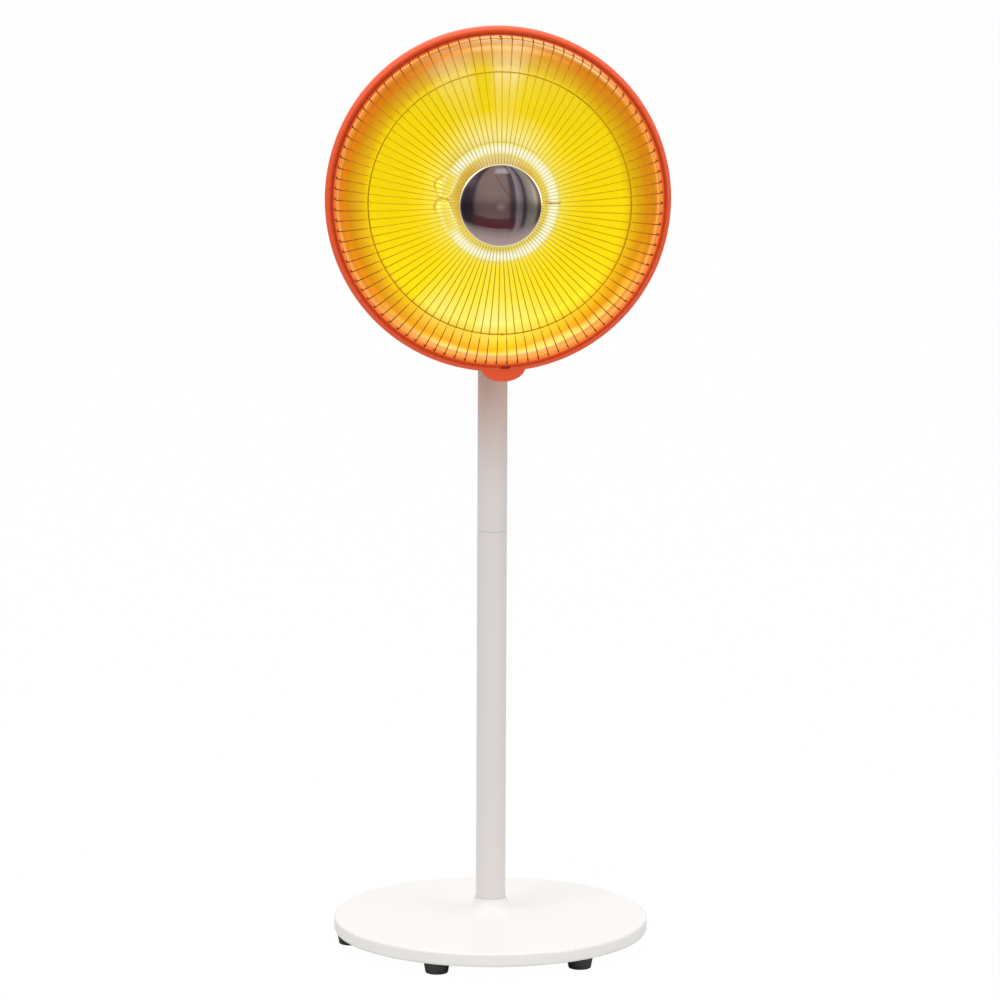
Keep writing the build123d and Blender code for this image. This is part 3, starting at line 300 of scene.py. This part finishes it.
def enamelled(name):
    """Stoving enamel on steel: deep orange-red with orange peel and a soft clear shine. Also gives
    its tree, its coat and its colour, for the bezel to build on."""
    material, tree, out = start(name)
    place = add(tree, "ShaderNodeTexCoord").outputs["Object"]
    peel = add(tree, "ShaderNodeTexNoise", {"Vector": place, "Scale": 1000 / PEEL_MM, "Detail": 1.0})
    bump = add(tree, "ShaderNodeBump", {"Height": peel.outputs[0], "Distance": PEEL_DEPTH,
                                        "Strength": 0.4})
    tone = add(tree, "ShaderNodeTexNoise", {"Vector": place, "Scale": 9.0, "Detail": 2.0})
    shade = add(tree, "ShaderNodeMix", {"Factor": tone.outputs[0], "A": linear("#EA5426"),
                                        "B": linear("#F05A2C")}, data_type="RGBA")
    coat = add(tree, "ShaderNodeBsdfPrincipled", {"Base Color": shade.outputs["Result"],
                                                  "Roughness": 0.42, "IOR": 1.42,
                                                  "Normal": bump.outputs[0]})
    tree.links.new(coat.outputs[0], out.inputs["Surface"])
    return material, tree, coat, shade.outputs["Result"]


dress(enamelled("stoving_enamel_orange")[0], "rear_shell")
CREASE = 0.962
CREASE_END = 0.976
LIP_TILT = (-0.025, 0, 0.03)  # the lit band is narrower at the upper left, wider at the lower right
LIP_PAINTED_GLOW = 0.6
lit_enamel, tree, coat, shade = enamelled("stoving_enamel_orange_lit_lip")
place, radius, turn = head_polar(tree)
raised = add(tree, "ShaderNodeVectorMath", {0: place, 1: HEAD_CENTRE}, operation="SUBTRACT")
raised = add(tree, "ShaderNodeVectorMath", {0: raised.outputs[0], 1: LIP_TILT}, operation="DOT_PRODUCT")
painted_light_radius = add(tree, "ShaderNodeMath", {0: raised.outputs["Value"], 1: radius}).outputs[0]
# Painted lamp light on the lip, lighter towards the dish, and painted shade in the crease.
lip = ramp(tree, painted_light_radius, (0.925, "#F2A043"), (0.938, "#F08A3A"), (0.950, "#E8702E"),
           (0.957, "#D2481C"), (CREASE, "#BC3A14"), (CREASE + 0.005, "#D8481C"),
           (CREASE_END, "#EA5428"))
# Painted glow: the lip is given an emission, though the enamel is no lamp.
glow = ramp(tree, painted_light_radius, (0.925, "#F0963E"), (0.938, "#EE843A"), (0.950, "#C05020"),
            (0.957, "#702008"), (CREASE, "#000000"))
# Above and right of the middle the lip faces the lamp most, and its inner edge gets a paler painted
# highlight.
upper = ramp(tree, turn, (0.60, "#000000"), (0.65, "#FFFFFF"), (0.76, "#FFFFFF"), (0.80, "#000000"))
innermost = ramp(tree, radius, (0.938, "#FFFFFF"), (0.949, "#000000"))
painted_highlight_share = add(tree, "ShaderNodeMath", {0: upper, 1: innermost}, operation="MULTIPLY")
lip = add(tree, "ShaderNodeMix", {"Factor": painted_highlight_share.outputs[0], "A": lip, "B": linear("#FFD8A8")},
          data_type="RGBA")
glow = add(tree, "ShaderNodeMix", {"Factor": painted_highlight_share.outputs[0], "A": glow, "B": linear("#F8CC9C")},
           data_type="RGBA")
inside = add(tree, "ShaderNodeMath", {0: radius, 1: CREASE_END}, operation="LESS_THAN")
colour = add(tree, "ShaderNodeMix", {"Factor": inside.outputs[0], "A": shade,
                                     "B": lip.outputs["Result"]}, data_type="RGBA")
tree.links.new(colour.outputs["Result"], coat.inputs["Base Color"])
tree.links.new(glow.outputs["Result"], coat.inputs["Emission Color"])
coat.inputs["Emission Strength"].default_value = LIP_PAINTED_GLOW
dress(lit_enamel, "bezel_ring")

# Reflector: spun aluminium with a gold anodised face. Painted lamp light fills the inner dish with
# yellow, and the face also gets a painted glow; the steeper outer band mirrors the lamp less and is
# painted amber, with paler painted streaks.
DISH_PAINTED_GLOW = 0.28
EDGE_DRIFT = 0.05
BEAD_TILT = 0.1  # the bead's light moves inwards at the top and outwards at the bottom
SPIN_MM = 1.2
SPIN_DEPTH = 0.00001
gold, tree, out = start("anodised_gold_spun_aluminium")
place, radius, turn = head_polar(tree)
# Painted lamp light: yellow over the inner dish, darker in the middle behind the cap.
inner = ramp(tree, radius, (0.0, "#A8650F"), (0.20, "#DDB428"), (0.24, "#E8C838"), (0.27, "#F0DC58"),
             (0.35, "#F6E970"), (0.39, "#F8E64E"), (0.44, "#F6DF2A"), (0.52, "#F4DB16"),
             (RAMP_END, "#F2D80E"))
# A painted halo, the lamp's pale reflection, lies above it, near the top of the dish.
halo_turn = ramp(tree, turn, (0.60, "#000000"), (0.68, "#C8C8C8"), (0.80, "#C8C8C8"),
                 (0.88, "#404040"), (RAMP_END, "#000000"))
halo_reach = ramp(tree, radius, (0.34, "#FFFFFF"), (0.40, "#C0C0C0"), (0.50, "#000000"))
halo = add(tree, "ShaderNodeMath", {0: halo_turn, 1: halo_reach}, operation="MULTIPLY")
inner = add(tree, "ShaderNodeMix", {"Factor": halo.outputs[0], "A": inner, "B": linear("#FFF8CC")},
            data_type="RGBA").outputs["Result"]
# Painted reflections: paler streaks of the room's light run outwards, below on the left and above on the
# right.
streak = ramp(tree, turn, (0.139, "#000000"), (0.172, "#9A9A9A"), (0.222, "#8A8A8A"),
              (0.233, "#B8B8B8"), (0.267, "#A8A8A8"), (0.294, "#808080"), (0.333, "#404040"),
              (0.42, "#000000"), (0.60, "#000000"), (0.667, "#383838"), (0.711, "#686868"),
              (0.725, "#D8D8D8"), (0.750, "#D0D0D0"), (0.759, "#404040"), (0.778, "#404040"),
              (0.787, "#A8A8A8"), (0.822, "#989898"), (0.836, "#404040"), (0.88, "#000000"))
streak_reach = ramp(tree, radius, (0.40, "#000000"), (0.60, "#9A9A9A"), (0.72, "#FFFFFF"))
painted_streak_share = add(tree, "ShaderNodeMath", {0: streak, 1: streak_reach}, operation="MULTIPLY")
inner = add(tree, "ShaderNodeMix", {"Factor": painted_streak_share.outputs[0], "A": inner,
                                    "B": linear("#FFF0B4")}, data_type="RGBA").outputs["Result"]
# The outer band's painted lamp light changes with the turn: amber at the sides, yellow below, and buff at
# the top.
outer = ramp(tree, turn, (0.0, "#C79226"), (0.083, "#C89222"), (0.167, "#DCA82C"),
             (0.222, "#E4AE2E"), (0.256, "#F0C41C"), (0.283, "#E6B630"), (0.361, "#D69E20"),
             (0.444, "#CE981E"), (0.556, "#CE9A1C"), (0.639, "#CC8C1E"), (0.70, "#D4A440"),
             (0.736, "#E6CCA0"), (0.769, "#D8B068"), (0.811, "#DAB694"), (0.839, "#CC963E"),
             (0.889, "#C88824"), (RAMP_END, "#C79226"))
cast = add(tree, "ShaderNodeTexNoise", {"Vector": place, "Scale": 16.0, "Detail": 1.0})
drift = add(tree, "ShaderNodeMath", {0: cast.outputs[0], 1: EDGE_DRIFT, 2: radius},
            operation="MULTIPLY_ADD")
edge = ramp(tree, drift.outputs[0], (0.760, "#000000"), (0.80, "#B8B8B8"), (0.84, "#DCDCDC"),
            (0.90, "#FFFFFF"))
face = add(tree, "ShaderNodeMix", {"Factor": edge, "A": inner, "B": outer},
           data_type="RGBA").outputs["Result"]
# Painted highlights: the rolled bead near the rim catches the light below and above; the flat flange
# round it carries painted lamp light.
rolled = ramp(tree, turn, (0.0, "#DC942A"), (0.10, "#DE9C2E"), (0.15, "#F3CE74"), (0.20, "#FFEBA4"),
              (0.35, "#FFE8A0"), (0.41, "#F2C452"), (0.46, "#D69C24"), (0.56, "#D29428"),
              (0.66, "#D59436"), (0.70, "#F3BC80"), (0.725, "#FFE8D4"), (0.77, "#FFE0C0"),
              (0.80, "#EDB070"), (0.86, "#DA8828"), (RAMP_END, "#DC942A"))
raised = add(tree, "ShaderNodeVectorMath", {0: place, 1: (0, 0, HEAD_CENTRE.z)}, operation="SUBTRACT")
raised = add(tree, "ShaderNodeSeparateXYZ", {0: raised.outputs[0]})
bead_place = add(tree, "ShaderNodeMath", {0: raised.outputs["Z"], 1: BEAD_TILT, 2: drift.outputs[0]},
                 operation="MULTIPLY_ADD")
bead = ramp(tree, bead_place.outputs[0], (0.885, "#000000"), (0.905, "#E0E0E0"), (0.918, "#FFFFFF"),
            (0.932, "#606060"))
face = add(tree, "ShaderNodeMix", {"Factor": bead, "A": face, "B": rolled},
           data_type="RGBA").outputs["Result"]
# Painted lamp light on the flat flange round the bead.
flange = ramp(tree, turn, (0.0, "#E0903C"), (0.10, "#E2A050"), (0.17, "#E0BA74"), (0.30, "#E0C084"),
              (0.38, "#DAA854"), (0.50, "#DE9238"), (0.60, "#E49C4C"), (0.66, "#F0C48C"),
              (0.76, "#EAC8A4"), (0.80, "#E8984E"), (0.88, "#E88840"), (RAMP_END, "#E0903C"))
lip = ramp(tree, radius, (0.908, "#000000"), (0.915, "#FFFFFF"))
face = add(tree, "ShaderNodeMix", {"Factor": lip, "A": face, "B": flange},
           data_type="RGBA").outputs["Result"]
ramp_mm = 1000 / RAMP_PER_METRE
groove = add(tree, "ShaderNodeMath", {0: radius, 1: tau * ramp_mm / SPIN_MM}, operation="MULTIPLY")
ripple = add(tree, "ShaderNodeMath", {0: groove.outputs[0]}, operation="SINE")
bump = add(tree, "ShaderNodeBump", {"Height": ripple.outputs[0], "Distance": SPIN_DEPTH,
                                    "Strength": 0.3})
# Painted glow: the painted face is also given as emission, though the dish is no lamp.
metal = add(tree, "ShaderNodeBsdfPrincipled", {"Base Color": face, "Metallic": 1.0, "Roughness": 0.45,
                                               "Specular Tint": linear("#F4D860"),
                                               "Normal": bump.outputs[0], "Emission Color": face,
                                               "Emission Strength": DISH_PAINTED_GLOW})
tree.links.new(metal.outputs[0], out.inputs["Surface"])
dress(gold, "reflector")

# Guard: drawn steel wire, spot welded and nickel plated. Against the lit dish the wires are painted as
# thin olive lines, with painted lamp light paler near the lamp and painted shade dark red-brown over the
# bezel's lip.
OUTER_RING_FRONT_Y = -0.1234
OUTER_RING_EDGE = 0.9405
RING_PAINTED_GLOW = 0.5
nickel, tree, out = start("nickel_plated_wire")
place, radius, _ = head_polar(tree)
cloud = add(tree, "ShaderNodeTexNoise", {"Vector": place, "Scale": 300.0, "Detail": 2.0})
# Painted lamp light and shade by radius: paler near the lamp, darker red-brown towards the rim.
lit = ramp(tree, radius, (0.22, "#BCA040"), (0.30, "#E0D69C"), (0.36, "#CCBC3C"), (0.50, "#C6AE0C"),
           (0.72, "#C0A40C"), (0.80, "#B08020"), (0.88, "#A86428"), (0.92, "#8E4420"),
           (0.945, "#74301A"))
# The outer ring wire lies behind the radial ones, next to the bezel, and gets a painted pale orange
# highlight and a painted glow.
parts = add(tree, "ShaderNodeSeparateXYZ", {0: place})
behind = add(tree, "ShaderNodeMath", {0: parts.outputs["Y"], 1: OUTER_RING_FRONT_Y},
             operation="GREATER_THAN")
within = add(tree, "ShaderNodeMath", {0: radius, 1: OUTER_RING_EDGE}, operation="LESS_THAN")
ring_share = add(tree, "ShaderNodeMath", {0: behind.outputs[0], 1: within.outputs[0]},
                 operation="MULTIPLY")
lit = add(tree, "ShaderNodeMix", {"Factor": ring_share.outputs[0], "A": lit, "B": linear("#E8A654")},
          data_type="RGBA").outputs["Result"]
# Painted glow on the outer ring wire, though the wire is no lamp.
ring_painted_glow = add(tree, "ShaderNodeMix", {"Factor": ring_share.outputs[0], "A": linear("#000000"),
                                        "B": linear("#7A4A1C")}, data_type="RGBA").outputs["Result"]
shine = add(tree, "ShaderNodeMapRange", {"Value": cloud.outputs[0], "To Min": 0.28, "To Max": 0.42})
plate = add(tree, "ShaderNodeBsdfPrincipled", {"Base Color": lit, "Metallic": 1.0,
                                               "Roughness": shine.outputs[0],
                                               "Specular Tint": linear("#D8B848"),
                                               "Emission Color": ring_painted_glow,
                                               "Emission Strength": RING_PAINTED_GLOW})
tree.links.new(plate.outputs[0], out.inputs["Surface"])
dress(nickel, "front_guard")

# Butt welds of the two big ring wires: each ring's ends are pressed together while they melt, so
# the wire swells into a short smooth collar there. Middle ring at the bottom, outer one at the top.
MIDDLE_RING_WIRE_R = 0.0008
OUTER_RING_WIRE_R = 0.00125
MIDDLE_RING_WELD = (0.003, -0.1534, 0.755)
OUTER_RING_WELD = (0.001, -0.1210, 1.0929)
WELD_HALF_LENGTH = 0.0026
WELD_FOOT = 0.95
WELD_SWELL = 0.9
WELD_SIDES = 20
WELD_STATIONS = 13


def butt_weld(name, place, wire_r):
    """Collar round a wire that runs along X at the place given."""
    shape = bmesh.new()
    hoops = []
    for station in range(WELD_STATIONS):
        along = 2 * station / (WELD_STATIONS - 1) - 1
        swell = wire_r * (WELD_FOOT + WELD_SWELL * cos(pi * along / 2) ** 2)
        hoops.append([shape.verts.new((place[0] + along * WELD_HALF_LENGTH,
                                       place[1] + swell * sin(tau * side / WELD_SIDES),
                                       place[2] + swell * cos(tau * side / WELD_SIDES)))
                      for side in range(WELD_SIDES)])
    for first, second in zip(hoops, hoops[1:]):
        for side in range(WELD_SIDES):
            after = (side + 1) % WELD_SIDES
            shape.faces.new((first[side], first[after], second[after], second[side]))
    shape.faces.new(hoops[0])
    shape.faces.new(hoops[-1])
    bmesh.ops.recalc_face_normals(shape, faces=shape.faces)
    mesh = bpy.data.meshes.new(name)
    shape.to_mesh(mesh)
    shape.free()
    mesh.shade_smooth()
    mesh.materials.append(nickel)
    collar = bpy.data.objects.new(name, mesh)
    bpy.context.scene.collection.objects.link(collar)
    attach(collar, "head")


butt_weld("middle_ring_weld", MIDDLE_RING_WELD, MIDDLE_RING_WIRE_R)
butt_weld("outer_ring_weld", OUTER_RING_WELD, OUTER_RING_WIRE_R)

# Cap in the middle of the guard: pressed steel, chrome plated and polished. Its dark tone is painted
# reflection of the dark side of the room, in broad bands, with a maroon one below and light grey at the
# foot.
CAP_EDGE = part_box("guard_cap")[1][0]
CAP_SPAN = CAP_EDGE * 2
CAP_RADIUS = CAP_EDGE * RAMP_PER_METRE
CHORD_SPARE = 1.002  # keeps the root below real out to the very rim
BOW_PER_METRE = -60.0  # the foot and the maroon band sag towards their ends
REFLECTED_LINE_SLANT = 1.3
RIM_START = 0.007
RIM_FULL = 0.0035
painted_reflection_chrome, tree, out = start("chrome_with_painted_reflections")
place, radius, _ = head_polar(tree)
shift = add(tree, "ShaderNodeVectorMath", {0: place, 1: (0, 0, -HEAD_CENTRE.z)})
parts = add(tree, "ShaderNodeSeparateXYZ", {0: shift.outputs[0]})
# The painted reflection bands bend with the dome: a place across is measured along the chord at its own
# height.
squared = add(tree, "ShaderNodeMath", {0: parts.outputs["Z"], 1: parts.outputs["Z"]},
              operation="MULTIPLY")
chord = add(tree, "ShaderNodeMath", {0: squared.outputs[0], 1: -4 / CAP_SPAN ** 2, 2: CHORD_SPARE},
            operation="MULTIPLY_ADD")
chord = add(tree, "ShaderNodeMath", {0: chord.outputs[0], 1: 0.5}, operation="POWER")
slant = add(tree, "ShaderNodeMath", {0: parts.outputs["X"], 1: chord.outputs[0]}, operation="DIVIDE")
across = add(tree, "ShaderNodeMath", {0: slant.outputs[0], 1: 1 / CAP_SPAN, 2: 0.5},
             operation="MULTIPLY_ADD")
up = add(tree, "ShaderNodeMath", {0: parts.outputs["Z"], 1: 1 / CAP_SPAN, 2: 0.5},
         operation="MULTIPLY_ADD")
sag = add(tree, "ShaderNodeMath", {0: parts.outputs["X"], 1: parts.outputs["X"]}, operation="MULTIPLY")
bowed = add(tree, "ShaderNodeMath", {0: sag.outputs[0], 1: BOW_PER_METRE, 2: up.outputs[0]},
            operation="MULTIPLY_ADD")
# Painted reflections: dark and light columns across the cap, and a light grey foot.
reflected_columns = ramp(tree, across.outputs[0], (0.0, "#4A3E46"), (0.06, "#362B32"), (0.15, "#3C3238"),
               (0.20, "#756260"), (0.36, "#836C68"), (0.58, "#7E6864"), (0.63, "#4E4044"),
               (0.67, "#54464A"), (0.70, "#8C8084"), (0.75, "#7A6C72"), (0.79, "#3E343C"),
               (0.84, "#7E7870"), (0.92, "#8A8274"), (0.96, "#5A4640"), (RAMP_END, "#4A3436"))
foot = ramp(tree, bowed.outputs[0], (0.0, "#FFFFFF"), (0.17, "#F0F0F0"), (0.235, "#000000"))
foot_reflection_colour = ramp(tree, bowed.outputs[0], (0.0, "#C0A8A2"), (0.10, "#B09C98"), (0.20, "#8E7C7C"))
tone = add(tree, "ShaderNodeMix", {"Factor": foot, "A": reflected_columns, "B": foot_reflection_colour}, data_type="RGBA")


def patch(below, share_across, share_up, code):
    """Lays one colour over the tone below, where both shares are white."""
    share = add(tree, "ShaderNodeMath", {0: share_across, 1: share_up}, operation="MULTIPLY")
    return add(tree, "ShaderNodeMix", {"Factor": share.outputs[0], "A": below.outputs["Result"],
                                       "B": linear(code)}, data_type="RGBA")


# Painted reflections: a maroon band above the foot, a grey highlight near the top, and a dark slanting
# line on the left.
tone = patch(tone, ramp(tree, across.outputs[0], (0.12, "#000000"), (0.18, "#FFFFFF"), (0.66, "#FFFFFF"),
                        (0.71, "#000000")),
             ramp(tree, bowed.outputs[0], (0.215, "#000000"), (0.235, "#FFFFFF"), (0.33, "#F0F0F0"),
                  (0.36, "#686868"), (0.44, "#000000")), "#5A2E34")
tone = patch(tone, ramp(tree, across.outputs[0], (0.34, "#000000"), (0.42, "#FFFFFF"), (0.60, "#FFFFFF"),
                        (0.70, "#000000")),
             ramp(tree, up.outputs[0], (0.88, "#000000"), (0.905, "#E0E0E0"), (0.94, "#C0C0C0"),
                  (0.965, "#000000")), "#B4B2B6")
slope = add(tree, "ShaderNodeMath", {0: across.outputs[0], 1: REFLECTED_LINE_SLANT, 2: up.outputs[0]},
            operation="MULTIPLY_ADD")
slope = add(tree, "ShaderNodeMath", {0: slope.outputs[0], 1: 1.0}, operation="SUBTRACT")
tone = patch(tone, ramp(tree, slope.outputs[0], (0.385, "#000000"), (0.40, "#B0B0B0"), (0.415, "#B0B0B0"),
                        (0.43, "#000000")),
             ramp(tree, up.outputs[0], (0.50, "#000000"), (0.56, "#FFFFFF"), (0.86, "#FFFFFF"),
                  (0.90, "#000000")), "#483C42")
shine = ramp(tree, radius, (0.0, "#C4C4C4"), (0.04, "#7C7C7C"))
# Painted highlight: a pale rim all round the cap.
rim = ramp(tree, radius, (CAP_RADIUS - RIM_START, "#000000"), (CAP_RADIUS - RIM_FULL, "#FFFFFF"))
tone = add(tree, "ShaderNodeMix", {"Factor": rim, "A": tone.outputs["Result"], "B": linear("#FFF3D6")},
           data_type="RGBA")
plate = add(tree, "ShaderNodeBsdfPrincipled", {"Base Color": tone.outputs["Result"], "Metallic": 1.0,
                                               "Roughness": shine})
tree.links.new(plate.outputs[0], out.inputs["Surface"])
dress(painted_reflection_chrome, "guard_cap")

# Lamp: clear fused quartz tube bent to an open ring. Its arc glows from wall to wall with the
# filament inside, painted darker olive towards its walls; the bent ends beside the gap at nine o'clock
# are clear, and are given a painted glow of pale yellow for the dish behind them.
HOT_TURN = 0.385
COLD_TURN = 0.43


def hot_share(tree, turn, cold_turn, **settings):
    """One along the lit arc and nothing from cold_turn on; both are turns away from three o'clock."""
    spread = add(tree, "ShaderNodeMath", {0: turn, 1: 0.5}, operation="SUBTRACT")
    spread = add(tree, "ShaderNodeMath", {0: spread.outputs[0]}, operation="ABSOLUTE")
    return add(tree, "ShaderNodeMapRange", {"Value": spread.outputs[0], "From Min": HOT_TURN,
                                            "From Max": cold_turn, "To Min": 1.0, "To Max": 0.0},
               **settings).outputs[0]


glow, tree, out = start("fused_quartz_lit")
_, radius, turn = head_polar(tree)
# Painted shade: the glowing arc turns darker olive towards its walls.
wall = ramp(tree, radius, (0.270, "#DCC84C"), (0.278, "#EBDD6E"), (0.291, "#F9F3BC"), (0.304, "#FFFBE4"),
            (0.320, "#FFFCDE"), (0.333, "#F9F5B4"), (0.343, "#F4EC8C"), (0.349, "#DACB5C"),
            (0.352, "#CCBC50"))
# Painted glow on the clear ends: the dish's yellow behind them, with paler painted highlights at their
# walls, given as emission.
cold_end_painted_glow = ramp(tree, radius, (0.262, "#F8E03A"), (0.278, "#FBF3A2"), (0.292, "#F9E34A"),
                 (0.330, "#F9E140"), (0.343, "#FBF2A0"), (0.354, "#F9DF2E"))
lit_arc = hot_share(tree, turn, COLD_TURN, interpolation_type="SMOOTHSTEP")
heat = add(tree, "ShaderNodeEmission", {"Color": wall, "Strength": 1.0})
quartz = add(tree, "ShaderNodeBsdfPrincipled", {"Base Color": linear("#2A2408"), "Roughness": 0.2,
                                                "IOR": 1.46, "Specular IOR Level": 0.15,
                                                "Emission Color": cold_end_painted_glow, "Emission Strength": 0.96})
tube = add(tree, "ShaderNodeMixShader", {0: lit_arc, 1: quartz.outputs[0], 2: heat.outputs[0]})
tree.links.new(tube.outputs[0], out.inputs["Surface"])
dress(glow, "lamp_tube")

# Filament: a round braid of carbon fibre along the middle of the tube, white hot over the lit arc.
# Its leads into the bent ends are bare metal, bright from the light around them.
STRANDS_PER_METRE = 900.0
LEAD_TURN = 0.41
weave, tree, out = start("woven_carbon_white_hot")
place, _, turn = head_polar(tree)
strand = add(tree, "ShaderNodeTexNoise", {"Vector": place, "Scale": STRANDS_PER_METRE, "Detail": 1.0})
hue = add(tree, "ShaderNodeMix", {"Factor": strand.outputs[0], "A": linear("#FFE9B0"),
                                  "B": linear("#FFF8E4")}, data_type="RGBA")
heat = add(tree, "ShaderNodeEmission", {"Color": hue.outputs["Result"], "Strength": 1.0})
hot = hot_share(tree, turn, LEAD_TURN)
lead = add(tree, "ShaderNodeBsdfPrincipled", {"Base Color": linear("#D8C46A"), "Metallic": 1.0,
                                              "Roughness": 0.4})
strip = add(tree, "ShaderNodeMixShader", {0: hot, 1: lead.outputs[0], 2: heat.outputs[0]})
tree.links.new(strip.outputs[0], out.inputs["Surface"])
dress(weave, "carbon_filament")

# Controls on the back of the head: black knob and rockers, injection moulded in glossy ABS, and a
# pilot lens of clear red polycarbonate with fine prisms moulded in its face.
PRISMS_PER_METRE = 900.0
PRISM_DEPTH = 0.0002
dress(moulded("black_moulded_abs", "#232325", 0.35), "timer_knob", "power_rocker", "swing_rocker",
      "switch_block")
lens, tree, out = start("red_polycarbonate_lens")
place = add(tree, "ShaderNodeTexCoord")
prism = add(tree, "ShaderNodeTexVoronoi", {"Vector": place.outputs["Object"],
                                           "Scale": PRISMS_PER_METRE})
bump = add(tree, "ShaderNodeBump", {"Height": prism.outputs["Distance"], "Distance": PRISM_DEPTH,
                                    "Strength": 0.5})
clear = add(tree, "ShaderNodeBsdfPrincipled", {"Base Color": linear("#C8261A"), "Roughness": 0.12,
                                               "IOR": 1.58, "Transmission Weight": 0.4,
                                               "Normal": bump.outputs[0]})
tree.links.new(clear.outputs[0], out.inputs["Surface"])
dress(lens, "pilot_lens")

# Marks round the controls: dark grey ink, pad printed on the white cover. Minutes stand round the
# timer knob, a line stands above each rocker for on and a ring below it for off.
INK_GRAIN_MM = 0.25
ink, tree, out = start("pad_printed_grey_ink")
place = add(tree, "ShaderNodeTexCoord")
film = add(tree, "ShaderNodeTexNoise", {"Vector": place.outputs["Object"],
                                        "Scale": 1000 / INK_GRAIN_MM, "Detail": 1.0})
tone = add(tree, "ShaderNodeMix", {"Factor": film.outputs[0], "A": linear("#4A4A4C"),
                                   "B": linear("#5C5C5E")}, data_type="RGBA")
print_coat = add(tree, "ShaderNodeBsdfPrincipled", {"Base Color": tone.outputs["Result"],
                                                    "Roughness": 0.5})
tree.links.new(print_coat.outputs[0], out.inputs["Surface"])
INK_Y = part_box("control_back_cover")[1][1]
INK_T = 0.00006
KNOB_MIDDLE_Z = sum(corner[2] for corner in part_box("timer_knob")) / 2
TIMER_SWEEP = radians(280)
TIMER_MINUTES = (0, 30, 60, 90, 120, 150, 180)
MINUTE_HEIGHT = 0.0052
MINUTES_HALF_WIDTH = 0.0245
MINUTES_HALF_HEIGHT = 0.0235
SWITCH_MARK_HEIGHT = 0.0045
ON_MARK_GAP = 0.0092
OFF_MARK_GAP = 0.0080


def printed(name, words, size, x, z):
    """Text on the back cover, read from behind, as one flat film of ink."""
    text = bpy.data.curves.new(name, "FONT")
    text.body = words
    text.size = size
    text.align_x = "CENTER"
    text.align_y = "CENTER"
    text.extrude = INK_T / 2
    pattern = bpy.data.objects.new(name + "_pattern", text)
    mesh = bpy.data.meshes.new_from_object(pattern)
    bpy.data.objects.remove(pattern)
    mesh.name = name
    mesh.transform(Matrix(((-1, 0, 0, x), (0, 0, 1, INK_Y + INK_T), (0, 1, 0, z), (0, 0, 0, 1))))
    mesh.materials.clear()
    mesh.materials.append(ink)
    mark = bpy.data.objects.new(name, mesh)
    bpy.context.scene.collection.objects.link(mark)
    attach(mark, "head")


for step, minutes in enumerate(TIMER_MINUTES):
    around = TIMER_SWEEP * step / (len(TIMER_MINUTES) - 1)
    printed(f"minute_mark_{minutes}", str(minutes), MINUTE_HEIGHT, -MINUTES_HALF_WIDTH * sin(around),
            KNOB_MIDDLE_Z + MINUTES_HALF_HEIGHT * cos(around))
for name in ("power_rocker", "swing_rocker"):
    low_corner, high_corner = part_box(name)
    middle_x = (low_corner[0] + high_corner[0]) / 2
    printed(name + "_on_mark", "I", SWITCH_MARK_HEIGHT, middle_x, high_corner[2] + ON_MARK_GAP)
    printed(name + "_off_mark", "O", SWITCH_MARK_HEIGHT, middle_x, low_corner[2] - OFF_MARK_GAP)
